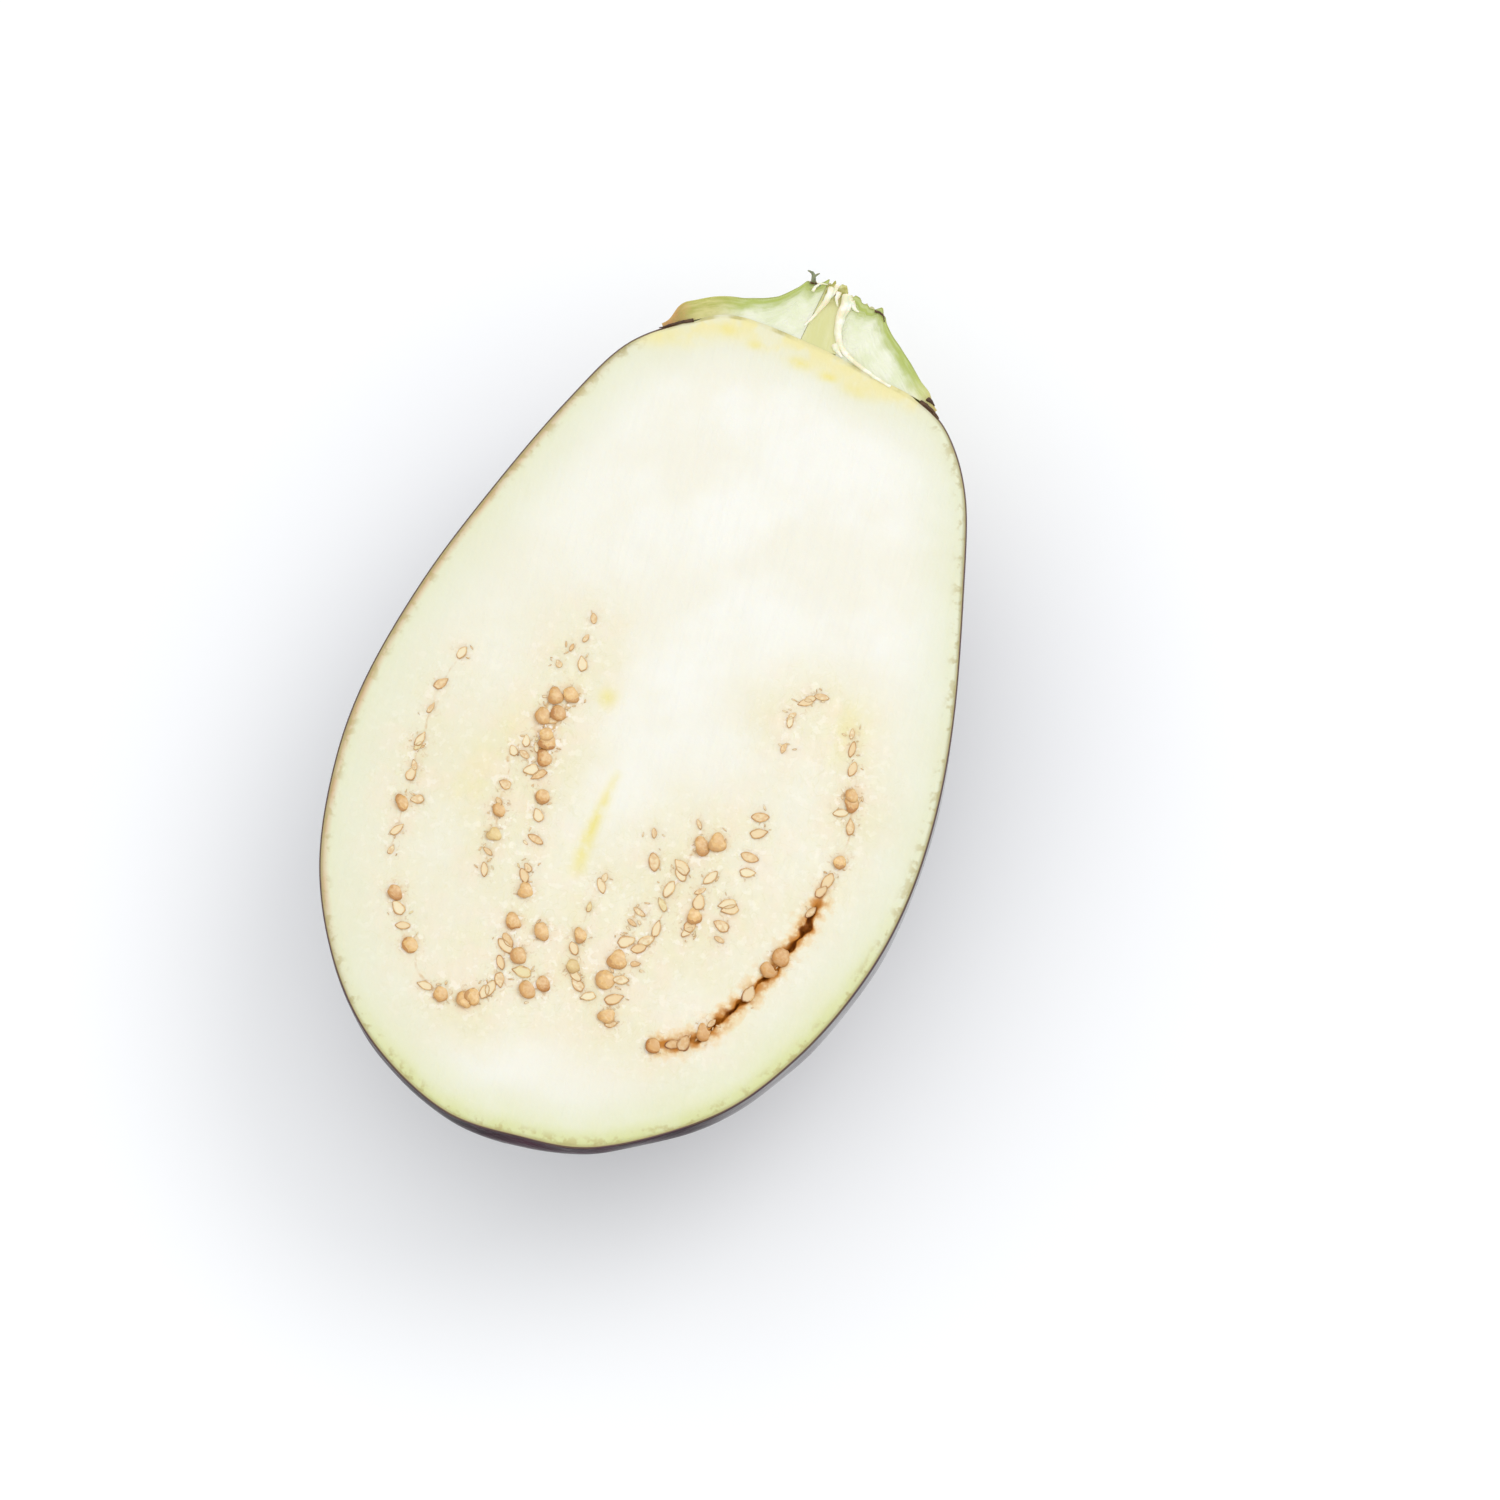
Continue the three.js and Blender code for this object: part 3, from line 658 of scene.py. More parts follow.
def flesh_material(colours):
    bench = MaterialBench(
        "Eggplant flesh", subsurface_weight=0.25, subsurface_radius=(1.0, 0.85, 0.6),
        subsurface_scale=0.0015, coat_roughness=0.2,
    )
    rim = bench.attribute("rim")
    seeded = bench.attribute("seeded")
    under_calyx = bench.attribute("under_calyx")
    swell = bench.mottle(size=16.0, detail=3.0, low=0.35, high=0.65)
    cream = bench.math("MULTIPLY_ADD", swell, 0.35, bench.times(seeded, 0.75), clamp=True)
    bench.colour = bench.mix(cream, colours.flesh, colours.flesh_cream)
    bench.paint("ebe3bc", seeded, 0.35)
    fibres = bench.mottle(bench.position((1, 9, 1)), size=1.1, detail=6.0, low=0.42, high=0.7)
    bench.paint("e2dfd6", bench.times(fibres, bench.between(rim, 8.0, 22.0)), 0.14)
    # Painted shade: darker cream towards the left of the cut face.
    bench.paint("e0dcc0", bench.attribute("shaded"), 0.45)
    blotches = bench.mottle(size=6.0, detail=5.0, low=0.42, high=0.68)
    bench.paint("e6ddb4", bench.times(blotches, seeded), 0.4)
    bench.paint(colours.flesh_green, bench.between(rim, 13.0, 1.0), 0.55)
    sun = bench.times(bench.attribute("sunned"), bench.ramp(blotches, 1.0, 0.75))
    bench.paint("dadca4", bench.times(bench.between(rim, 9.0, 0.5), sun), 0.55)
    bench.paint("ccd084", bench.times(bench.between(rim, 3.4, 0.2), sun), 0.6)
    patches = bench.mottle(size=2.2, low=0.1, high=0.6)
    bench.paint("e6d97e", bench.times(bench.attribute("yellow"), patches))
    veins = bench.mottle(size=3.4, detail=2.0, twist=1.2, low=0.46, high=0.5)
    thin = bench.times(veins, bench.math("SUBTRACT", 1.0, veins))
    bench.paint("d5cf98", bench.times(thin, seeded), 1.3)
    pinkish = bench.mottle(size=4.5, detail=3.0, low=0.45, high=0.65)
    bench.paint("f2ddcb", bench.times(pinkish, seeded), 0.35)
    paint_seed_traces(bench, seeded, colours.stain)
    broken = bench.mottle(size=4.5, detail=3.0, low=0.36, high=0.6)
    near_calyx = bench.times(bench.between(rim, 6.5, 0.0), under_calyx)
    bench.paint("e9dea0", near_calyx, bench.ramp(broken, 0.35, 0.95))
    seam = bench.times(bench.between(rim, 0.5, 0.1), under_calyx)
    bench.paint("b9ae68", seam, bench.ramp(blotches, 0.1, 0.8))
    rusty = paint_groove(bench)
    paint_rim(bench, rim, bench.math("SUBTRACT", 1.0, under_calyx))
    wet = bench.mottle(size=3.0, detail=3.0, low=0.4, high=0.62)
    dry = bench.math("SUBTRACT", 1.0, rusty, clamp=True)
    cells = bench.node("ShaderNodeTexVoronoi", {"Vector": bench.even, "Scale": 1.6})
    return bench.finish(
        (cells.outputs["Distance"], 0.03), (fibres, 0.04),
        roughness=bench.ramp(wet, 0.55, 0.38), specular_ior_level=bench.ramp(rusty, 0.35, 0.04),
        coat_weight=bench.times(seeded, bench.times(dry, 0.5)),
    )


def paint_seed_traces(bench, seeded, stain):
    """The stain round each seed, the strands from seed to seed, and white flecks painted as glints of
    light on the moist flesh.
    """
    stained = bench.attribute("stained")
    fine = bench.mottle(size=0.9, low=0.3, high=0.65)
    bench.paint(stain, bench.times(stained, fine), 0.45)
    touched = bench.times(bench.attribute("contact"), bench.ramp(fine, 0.25, 1.0))
    bench.paint("d2a460", touched, 0.55)
    smears = bench.mottle(size=0.8, detail=3.0, twist=0.8, low=0.58, high=0.66)
    bench.paint("b98845", bench.times(smears, stained))
    strokes = bench.mottle(size=1.7, detail=4.0, low=0.42, high=0.6)
    strand = bench.between(bench.attribute("strand"), 0.45, 0.05)
    strand = bench.times(strand, bench.ramp(strokes, 0.3, 1.0))
    bench.paint("cb9f60", bench.times(strand, seeded), 0.9)
    # Painted highlight: white flecks for glints of light near the seeds.
    glints = bench.mottle(size=1.3, detail=2.0, low=0.58, high=0.64)
    shining = bench.math("MULTIPLY_ADD", stained, 0.6, bench.times(seeded, 0.25))
    bench.paint("fdf8ee", bench.times(glints, shining))


def paint_groove(bench):
    """The brown groove, from its soaked edge to its dark bottom. Gives back where it is rusty."""
    offset = bench.math("ABSOLUTE", bench.attribute("groove"))
    ends = bench.attribute("groove_ends")
    core = bench.attribute("groove_core")
    ragged = bench.mottle(size=1.4, detail=5.0, low=0.3, high=0.7)
    share = bench.math("DIVIDE", offset, bench.math("MULTIPLY_ADD", ragged, 1.3, 0.8))
    bench.paint("e6c284", bench.times(bench.between(share, 2.0, 0.3), ends), 0.8)
    rusty = bench.times(bench.between(share, 1.0, 0.2), ends)
    bench.paint("bd7420", rusty, 0.9)
    opening = bench.math("DIVIDE", offset, bench.attribute("groove_width"))
    bench.paint("8f5010", bench.times(bench.between(opening, 1.5, 0.75), core))
    deep = bench.mottle(size=2.2, detail=2.0, low=0.42, high=0.6)
    deepest = bench.times(bench.between(opening, 1.1, 0.4), core)
    bench.paint("5c2a02", bench.times(deepest, deep))
    return rusty


def paint_rim(bench, rim, skinned):
    """The blush, the spots and the line of the cut face beside the skin."""
    tone = bench.mottle(size=7.0, low=0.38, high=0.62)
    edge = bench.times(bench.between(rim, 1.5, 0.0), skinned)
    blush = bench.times(edge, bench.attribute("blushed"))
    bench.paint("cda278", blush, bench.ramp(tone, 0.6, 0.95))
    spots = bench.mottle(size=1.6, detail=4.0, low=0.5, high=0.64)
    spots = bench.times(spots, bench.between(rim, 2.2, 0.4))
    bench.paint("b5a468", bench.times(spots, skinned), 0.55)
    bench.paint("a89a5e", bench.times(bench.between(rim, 0.55, 0.0), skinned), 0.6)


def seed_material(colours):
    bench = MaterialBench(
        "Eggplant seeds", subsurface_weight=0.1, subsurface_radius=(1.0, 0.7, 0.4),
        subsurface_scale=0.0005, roughness=0.36, coat_roughness=0.15, coat_weight=0.25,
    )
    tint = bench.attribute("tint")
    brown = bench.attribute("brown")
    outwards = seed_outwards(bench)
    shady = bench.between(outwards, 0.75, 1.25)
    bench.colour = bench.mix(tint, colours.seed, colours.seed_dark)
    speckle = bench.mottle(size=0.6, detail=3.0, low=0.35, high=0.65)
    bench.paint("f0d8a4", speckle, 0.5)
    # Painted highlight: lighter towards the middle and the lit side of each seed.
    bench.paint("f0d0a0", bench.between(outwards, 0.8, 0.25, 0.0, 0.4))
    # Painted shade: a dark brown crescent on the shady side of each seed.
    ragged = bench.math("MULTIPLY_ADD", speckle, 0.3, outwards)
    bench.paint("a8681f", bench.between(ragged, 0.97, 1.22), bench.attribute("shade_crescent"))
    patchy = bench.mottle(size=0.9, low=0.35, high=0.62)
    bench.paint("b87c30", patchy, 0.28)
    inside = bench.mix(tint, "ecdeb8", "e6c896")
    inside = bench.mix(bench.times(speckle, bench.attribute("filled")), inside, "cf9a58")
    bench.paint(inside, bench.attribute("hollow"))
    bench.paint("dbd596", bench.attribute("green"), 0.5)
    bench.paint("c98a38", brown, 0.35)
    rind = bench.mix(tint, "e4bc80", "cf9854")
    # The outline of the coat is darker in brown patches, which is its own colour, and on the shady side,
    # which is painted shade.
    rind = bench.mix(bench.times(bench.math("MAXIMUM", patchy, shady), 0.62), rind, "9c6426")
    rind = bench.mix(brown, rind, "7c430c")
    shown = bench.math("SUBTRACT", 0.45, bench.attribute("faded"))
    shown = bench.math("MULTIPLY_ADD", patchy, 0.55, shown)
    # The outline shows more on the shady side: painted shade.
    shown = bench.math("MULTIPLY_ADD", shady, 0.5, shown)
    bench.paint(rind, bench.times(bench.attribute("coat"), shown, clamp=True))
    return bench.finish((speckle, 0.03))


def seed_outwards(bench):
    """How far out on its seed a place is, from 0 to about 1 at the outline, shifted so that it is
    more on the shady side."""
    shade_way = bench.attribute("shade_way", "Vector")
    per_size = bench.vector_math("LENGTH", shade_way)
    reach = bench.vector_math("SUBTRACT", bench.even, bench.attribute("middle", "Vector"))
    spread = bench.vector_math("SCALE", reach, Scale=per_size)
    shift = bench.vector_math("NORMALIZE", shade_way)
    return bench.vector_math("LENGTH", bench.vector_math("MULTIPLY_ADD", shift, (0.35,) * 3, spread))


def skin_material(colours):
    bench = MaterialBench("Eggplant skin", coat_roughness=0.04)
    near_calyx = bench.attribute("near_calyx")
    scar = bench.attribute("scar")
    dull = bench.attribute("dull")
    clouds = bench.mottle(size=34.0, detail=3.0, low=0.42, high=0.68)
    bench.colour = bench.mix(clouds, colours.skin, colours.skin_red)
    streaks = bench.mottle(bench.position((1, 12, 1)), size=2.6, detail=6.0, low=0.42, high=0.72)
    redder = bench.between(near_calyx, 0.0, 0.7)
    bench.paint("5a1634", streaks, bench.ramp(redder, 0.18, 0.75))
    bench.paint("8d3a5f", bench.between(near_calyx, 0.72, 0.98), bench.ramp(streaks, 0.3, 1.0))
    dust = bench.mottle(size=0.7, detail=3.0, low=0.66, high=0.8)
    bench.paint("86737f", dust, 0.25)
    lengthwise = bench.position((1.0, 14, 2.0))
    scratches = bench.mottle(lengthwise, size=1.2, detail=2.0, twist=1.5, low=0.72, high=0.78)
    scuffed = bench.mottle(size=18.0, low=0.55, high=0.7)
    bench.paint("a08a92", bench.times(scratches, scuffed), 0.4)
    bench.paint("8c6a50", scar)
    rough = bench.ramp(bench.mottle(size=9.0, low=0.35, high=0.7), 0.12, 0.22)
    pores = bench.mottle(size=0.8, detail=4.0, low=0.2, high=0.9)
    # The gloss and the coat fade out where shade is painted on the skin.
    return bench.finish(
        (pores, 0.012), (streaks, 0.03), roughness=bench.math("MULTIPLY_ADD", scar, 0.4, rough),
        specular_ior_level=bench.ramp(dull, 0.35, 0.01), coat_weight=bench.ramp(dull, 0.4, 0.0),
    )


def skin_edge_material():
    bench = MaterialBench("Eggplant skin edge", roughness=0.5)
    near_calyx = bench.attribute("near_calyx")
    tone = bench.mottle(size=4.0, low=0.35, high=0.65)
    bench.colour = bench.mix(tone, "4a3038", "5c4430")
    towards_flesh = bench.between(bench.attribute("depth"), bench.ramp(tone, 0.3, 0.5), 0.95)
    bench.paint(bench.mix(tone, "a59262", "bcb27a"), towards_flesh)
    bench.paint("5a3a1c", bench.between(near_calyx, 0.9, 1.0))
    bench.paint(bench.mix(tone, "d9d29a", "b9ae68"), bench.between(near_calyx, 1.08, 1.2))
    return bench.finish()


def calyx_material(colours):
    bench = MaterialBench(
        "Eggplant calyx", subsurface_weight=0.1, subsurface_radius=(0.8, 1.0, 0.4),
        subsurface_scale=0.001, specular_ior_level=0.3,
    )
    dry = bench.attribute("dry")
    blotch = bench.mottle(size=7.0, detail=6.0, low=0.38, high=0.62)
    bench.colour = bench.mix(blotch, colours.calyx, "ddd6a4")
    fine = bench.mottle(size=1.2, detail=6.0, low=0.4, high=0.66)
    bench.paint("94a060", fine, 0.45)
    rust = bench.mottle(size=3.2, detail=7.0, twist=0.6, low=0.42, high=0.6)
    rust = bench.times(rust, bench.between(bench.attribute("ridge"), 0.05, 0.8))
    rust = bench.times(rust, bench.between(bench.attribute("along"), 0.15, 0.5))
    bench.paint("8a5638", rust, 0.7)
    bench.paint("5a3a26", dry, bench.ramp(fine, 0.55, 1.0))
    return bench.finish((fine, 0.12), (blotch, 0.2), roughness=bench.ramp(dry, 0.55, 0.85))


def calyx_section_material(colours):
    bench = MaterialBench(
        "Eggplant calyx section", subsurface_weight=0.3, subsurface_radius=(0.9, 1.0, 0.6),
        subsurface_scale=0.0015, roughness=0.42, specular_ior_level=0.4,
    )
    below = bench.attribute("below")
    away = bench.attribute("away")
    left = bench.attribute("left")
    pale = bench.mottle(size=3.5, detail=4.0, low=0.35, high=0.65)
    bench.colour = bench.mix(pale, colours.calyx_section, "ebecd6")
    values = {"X": bench.times(below, 2.2), "Y": bench.times(away, 0.4)}
    grain = bench.node("ShaderNodeCombineXYZ", values).outputs[0]
    streaks = bench.mottle(grain, size=1.2, detail=5.0, low=0.3, high=0.7)
    wobble = bench.mottle(size=2.4, detail=4.0, low=0.2, high=0.8)
    band = bench.math("MULTIPLY_ADD", wobble, 1.5, 1.9)
    rind = bench.between(bench.math("DIVIDE", below, band), 1.4, 0.3)
    bench.paint("a5b344", rind, bench.ramp(streaks, 0.7, 1.0))
    bench.paint("cfd49a", streaks, 0.18)
    bench.paint("8a9044", bench.between(below, 0.4, 0.05), 0.8)
    tan = bench.mix(bench.times(rind, streaks), "cec67e", "abaa4e")
    bench.paint(tan, bench.times(left, bench.between(away, 12.5, 20.0)), 0.9)
    rust = bench.mix(bench.mottle(size=1.5, detail=4.0, low=0.4, high=0.6), "c39a5c", "a99c4c")
    bench.paint(rust, bench.times(left, bench.between(away, 20.5, 25.0)), 0.85)
    right = bench.math("SUBTRACT", 1.0, left)
    bench.paint("ddd99c", bench.times(right, bench.between(away, 15.0, 21.0)), 0.6)
    dry = bench.between(wobble, 0.1, 0.8, 0.55, 1.0)
    bench.paint(bench.mix(left, "c7b06c", "b98550"), bench.attribute("browned"), dry)
    return bench.finish((wobble, 0.1), (streaks, 0.08))


def stalk_material(colours):
    bench = MaterialBench(
        "Eggplant stalk", subsurface_weight=0.25, subsurface_radius=(1.0, 0.9, 0.5),
        subsurface_scale=0.001, roughness=0.45,
    )
    strings = bench.mottle(bench.position((1, 9, 1)), size=1.3, detail=4.0, low=0.3, high=0.75)
    bench.colour = bench.mix(bench.times(strings, 0.5), colours.stalk, "e3e0b4")
    torn = bench.between(bench.attribute("height"), 6.5, 10.5)
    bench.paint("a39c3e", torn, bench.mottle(size=1.6, low=0.35, high=0.6))
    return bench.finish((strings, 0.1))


def fibre_material(name, light, dark):
    bench = MaterialBench(name, subsurface_weight=0.2, subsurface_scale=0.0008, roughness=0.5)
    bench.colour = bench.mix(bench.mottle(size=1.5, low=0.35, high=0.65), light, dark)
    return bench.finish()


# ---------- settings ----------

def colour_property(name, description, code):
    return FloatVectorProperty(
        name=name, description=description, default=srgb(code), subtype="COLOR",
        size=3, min=0.0, max=1.0,
    )


def length_property(name, description, usual, least, most):
    return FloatProperty(
        name=name, description=description, default=usual * MM, min=least * MM, max=most * MM,
        unit="LENGTH", precision=5,
    )


class EggplantColours(bpy.types.PropertyGroup):
    skin: colour_property("Skin", "Main colour of the skin", "17050f")
    skin_red: colour_property("Skin red", "Redder patches of the skin", "360c22")
    flesh: colour_property("Flesh", "Middle of the cut face", "eeece2")
    flesh_cream: colour_property("Flesh cream", "Cut face near the seeds", "e4ddc1")
    flesh_green: colour_property("Flesh green", "Cut face towards the rim", "dcddc2")
    stain: colour_property("Seed stain", "Flesh round a seed", "e8bc86")
    seed: colour_property("Seed", "Light seeds", "e0b46c")
    seed_dark: colour_property("Dark seed", "Dark seeds", "c58c44")
    calyx: colour_property("Calyx", "Outside of the calyx", "c8c790")
    calyx_section: colour_property("Calyx section", "Cut face of the calyx", "e0e4c2")
    stalk: colour_property("Stalk", "Stringy core of the stalk", "d3d192")


class EggplantSettings(bpy.types.PropertyGroup):
    colours: PointerProperty(type=EggplantColours)
    skin_thickness: length_property(
        "Skin thickness", "Thickness of the skin at the cut", 0.36, 0.1, 1.0)
    seed_length: length_property("Seed length", "Long way across a seed", 3.3, 1.0, 6.0)
    seed_thickness: length_property(
        "Seed thickness", "Thickness of a seed that lies flat", 1.1, 0.2, 3.0)
    seed_tilt: FloatProperty(
        name="Seed tilt", description="How far a whole seed leans", default=math.radians(16),
        min=0.0, max=math.radians(45), subtype="ANGLE",
    )
    fibre_radius: length_property(
        "Fibre radius", "Radius of a thick fibre of the stalk", 0.32, 0.05, 1.0)
    random_seed: IntProperty(
        name="Random seed", description="Starts the draw that places the seeds", default=4092, min=0,
    )
    light: FloatProperty(
        name="Light", description="Strength of the main lamp", default=7.7, min=0.0,
        subtype="POWER", unit="POWER",
    )


# ---------- flesh ----------

FACE_ROWS = 340
FACE_COLUMNS = 230
UNDERSIDE_COLUMNS = 26
OUTLINE_STEPS = 520
FLESH_OVERLAP = 0.02  # how far the flesh reaches into the skin's thickness at the rim
EDGE_CROWDING = 0.35  # how much closer the columns of the cut face stand along the rim


class EGGPLANT_OT_flesh(bpy.types.Operator):
    """Builds the flesh, with its cut face and the sockets of the seeds"""

    bl_idname = "eggplant.flesh"
    bl_label = "Flesh"

    def execute(self, context):
        settings = context.scene.eggplant
        skin = settings.skin_thickness / MM
        stations = even_stations(LAST_STATION, FACE_ROWS)[:, None]
        inset = (skin - FLESH_OVERLAP) * (1 - smoothstep(stations, SKIN_END + 0.02, SKIN_END + 0.3))
        right = rim_point(stations, 1, inset)
        left = rim_point(stations, -1, inset)
        t = np.linspace(0, 1, FACE_COLUMNS + 1)
        across = (t - EDGE_CROWDING * np.sin(2 * math.pi * t) / (2 * math.pi))[None, :, None]
        places = right + (left - right) * across
        rim = from_rim(places) - skin
        seeds = seed_places(settings)
        relief, marks = face_relief(places, seeds, np.maximum(rim, 0))
        face = np.concatenate([places, (CUT_HEIGHT + relief)[..., None]], -1)
        angles = np.linspace(0, math.pi, UNDERSIDE_COLUMNS + 1)[None, :]
        under = fruit_point(stations, angles, np.broadcast_to(inset, (len(stations), 1)))
        under[:, 0] = face[:, 0]
        under[:, -1] = face[:, -1]
        share = np.linspace(0, 1, UNDERSIDE_COLUMNS + 1)[None, :]
        rim_marks = {
            mark: value[:, :1] * (1 - share) + value[:, -1:] * share for mark, value in marks.items()}
        sheets = [(face, 0, marks), (under, 0, rim_marks)]
        piece = build_piece("flesh_half", sheets, [flesh_material(settings.colours)])
        settle(piece, "flesh", "flesh")
        return {"FINISHED"}


def from_rim(points):
    """Distance of each point from the outline of the cut face."""
    outline, _ = smooth_curve(RIM, np.linspace(0, 1, OUTLINE_STEPS + 1), closed=True)
    best = np.full(points.shape[:-1], np.inf)
    for start, end in zip(outline[:-1], outline[1:]):
        run = end - start
        share = np.clip((points - start) @ run / (run @ run), 0, 1)
        gap = points - start - share[..., None] * run
        best = np.minimum(best, (gap ** 2).sum(-1))
    return np.sqrt(best)


# ---------- seeds ----------

SEED_SIDES = 24
SEED_VARIETIES = 4  # differently shaped seeds of each kind
SEED_LEAN_AXIS = Vector((-0.55, 0.83, 0.0))  # whole seeds lean down to the right of this
SEED_LEANS = (0.6, 1.3)  # over the usual tilt
DEEPEST_SEED = -0.35  # seeds in the groove lie no lower than this, from the cut face
GREEN_SHARE = 0.05
FILLED_SHARE = 0.3  # of the seeds whose hollow is partly filled
# Rings of a whole and of a cut seed, from its foot to its top: the reach along and across over
# that of the outline, the height over the thickness, the share of coat, the share of hollow.
WHOLE_RINGS = [
    (0.7, 0.7, -0.5, 1.0, 0.0), (0.95, 0.95, -0.2, 1.0, 0.0), (1.0, 1.0, 0.0, 0.7, 0.0),
    (0.97, 0.97, 0.07, 0.45, 0.0), (0.89, 0.89, 0.13, 0.2, 0.0), (0.7, 0.7, 0.17, 0.0, 0.0),
    (0.35, 0.35, 0.19, 0.0, 0.0),
]
CUT_RINGS = [
    (0.85, 0.8, -0.5, 1.0, 0.0), (0.98, 0.96, -0.1, 0.6, 0.0), (1.0, 1.0, 0.03, 0.5, 0.0),
    (0.95, 0.92, 0.08, 0.9, 0.1), (0.9, 0.8, 0.06, 0.75, 0.5), (0.82, 0.66, 0.03, 0.15, 1.0),
    (0.5, 0.4, 0.02, 0.0, 1.0), (0.2, 0.16, 0.03, 0.0, 1.0),
]


def seed_shape(name, rings, pointed, notch, seed):
    """A seed of unit size. Its two ends may be pointed, and one may have a notch."""
    draw = np.random.default_rng(seed)
    angle = np.linspace(0, 2 * math.pi, SEED_SIDES, endpoint=False)
    uneven = 1 + sum(
        draw.normal(0, 0.15 / wave) * np.cos(wave * angle + draw.uniform(0, 2 * math.pi))
        for wave in (2, 3, 5))
    dent = 1 - notch * np.exp(-((angle - math.pi) / 0.45) ** 2)
    across = np.sin(angle) * np.abs(np.sin(angle)) ** pointed * (1 + 0.12 * np.cos(angle))
    outline = 0.5 * np.stack([np.cos(angle) * dent, across], -1) * uneven[:, None]
    points = []
    coats = []
    hollows = []
    for reach_along, reach_across, height, coat, hollow in rings:
        bumps = 0.02 * np.cos(3 * angle + draw.uniform(0, 2 * math.pi)) * max(height, 0) / 0.4
        points.append(np.column_stack([outline * (reach_along, reach_across), height + bumps]))
        coats += [coat] * SEED_SIDES
        hollows += [hollow] * SEED_SIDES
    points += [[[0.0, 0.0, rings[0][2]]], [[0.0, 0.0, rings[-1][2]]]]
    foot = len(rings) * SEED_SIDES
    top = foot + 1
    faces = []
    for n in range(SEED_SIDES):
        following = (n + 1) % SEED_SIDES
        faces.append((foot, following, n))
        for low in range(0, foot - SEED_SIDES, SEED_SIDES):
            high = low + SEED_SIDES
            faces.append((low + n, low + following, high + following, high + n))
        faces.append((foot - SEED_SIDES + n, foot - SEED_SIDES + following, top))
    mesh = bpy.data.meshes.new(name)
    mesh.from_pydata(np.concatenate(points).tolist(), [], faces)
    marks = {"coat": coats, "hollow": hollows}
    write_marks(mesh, {mark: [*values, values[0], values[-1]] for mark, values in marks.items()})
    mesh.polygons.foreach_set("use_smooth", np.ones(len(mesh.polygons), bool))
    return bpy.data.objects.new(name, mesh)


def seed_shapes(seed):
    """The whole seeds, then the cut ones, in a collection that the node tree picks from."""
    shapes = bpy.data.collections.new("Seed shapes")
    bpy.context.scene.collection.children.link(shapes)
    for n in range(SEED_VARIETIES):
        shapes.objects.link(seed_shape(f"Seed {n}", WHOLE_RINGS, 0.0, 0.12, seed + n))
    for n in range(SEED_VARIETIES, 2 * SEED_VARIETIES):
        shapes.objects.link(seed_shape(f"Seed {n}", CUT_RINGS, 0.3, 0.0, seed + n))
    return shapes


def seed_points(settings):
    """A loose point for each seed, with what the node tree and the material read from it."""
    draw = np.random.default_rng(settings.random_seed)
    sown = seed_places(settings)
    bits = []
    for x, y, _, size, _, faint in sown:
        for _ in range(draw.integers(0, MOST_BITS + 1)):
            way = draw.uniform(0, 2 * math.pi)
            reach = size * draw.uniform(*BIT_REACH)
            turn = way + draw.normal(0, 1.2)
            place = (x + reach * math.cos(way), y + reach * math.sin(way))
            bits.append((*place, turn, draw.uniform(*BIT_SIZES), "b", 0.5 + 0.5 * faint))
    seeds = sown + bits
    count = len(seeds)
    places = np.array([(x, y) for x, y, *_ in seeds])
    cuts = np.array([cut for *_, cut, _ in seeds])
    faint = np.array([faint for *_, faint in seeds])
    whole = cuts == "w"
    relief, marks = face_relief(places, sown, from_rim(places))
    brown = marks["groove_ends"] * np.exp(-(marks["groove"] / 1.6) ** 2)
    brown = np.where(cuts == "b", np.maximum(brown, draw.random(count) ** 2), brown)
    sunk = np.where(cuts == "b", 0.0, SEED_SOCKET * (1 - 0.1 * whole))
    heights = CUT_HEIGHT + np.maximum(relief, DEEPEST_SEED) + sunk
    mesh = bpy.data.meshes.new("Seed places")
    middles = np.column_stack([places, heights])
    mesh.from_pydata((middles * MM).tolist(), [], [])
    proportions = np.array([draw.uniform(*SEED_PROPORTIONS[cut]) for cut in cuts])
    sizes = np.array([size for *_, size, _, _ in seeds])
    leans = settings.seed_tilt * np.where(whole, draw.uniform(*SEED_LEANS, count), 0.0)
    poses = []
    for (_, _, turn, *_), lean in zip(seeds, leans):
        pose = Quaternion(SEED_LEAN_AXIS, lean) @ Quaternion((0, 0, 1), turn)
        poses += list(pose.to_euler())
    values = {
        "long": sizes * np.array([SEED_LENGTHS[cut] for cut in cuts]),
        "wide": sizes * proportions,
        "tint": np.clip(draw.normal(0.42, 0.32, count), 0, 1),
        "green": np.where(draw.random(count) < GREEN_SHARE, 0.7, 0.0) * (1 - brown),
        "brown": brown,
        "faded": np.where(whole, 0.4, draw.uniform(0, 0.5, count)) + 0.4 * faint,
        "filled": np.where(cuts == "s", 0.55, np.where(draw.random(count) < FILLED_SHARE, 0.5, 0.0)),
        # How strongly shade is painted on the shady side of each seed.
        "shade_crescent": draw.uniform(0.35, 1.0, count) * (1 - 0.6 * faint),
    }
    write_marks(mesh, values)
    shape = draw.integers(0, SEED_VARIETIES, count) + np.where(whole, 0, SEED_VARIETIES)
    write_marks(mesh, {"shape": shape}, "INT")
    # The side of each seed on which its shade is painted.
    ways = SHADY_WAY + draw.uniform(-1, 1, count) * SHADY_SCATTER
    halves = 0.5 * sizes * settings.seed_length / MM * (1 + proportions) / 2
    shade_ways = np.column_stack([np.cos(ways), np.sin(ways), 0 * ways]) / halves[:, None]
    vectors = {"pose": poses, "middle": middles, "shade_way": shade_ways}
    write_marks(mesh, vectors, "FLOAT_VECTOR")
    return add_object("Seed places", mesh)


def finish_tree(bench, geometry, material):
    """Ends a node tree with real geometry in its material."""
    real = bench.node("GeometryNodeRealizeInstances", {"Geometry": geometry}).outputs["Geometry"]
    values = {"Geometry": real, "Material": material}
    finished = bench.node("GeometryNodeSetMaterial", values).outputs["Geometry"]
    bench.node("NodeGroupOutput", {"Geometry": finished})
    return bench.tree


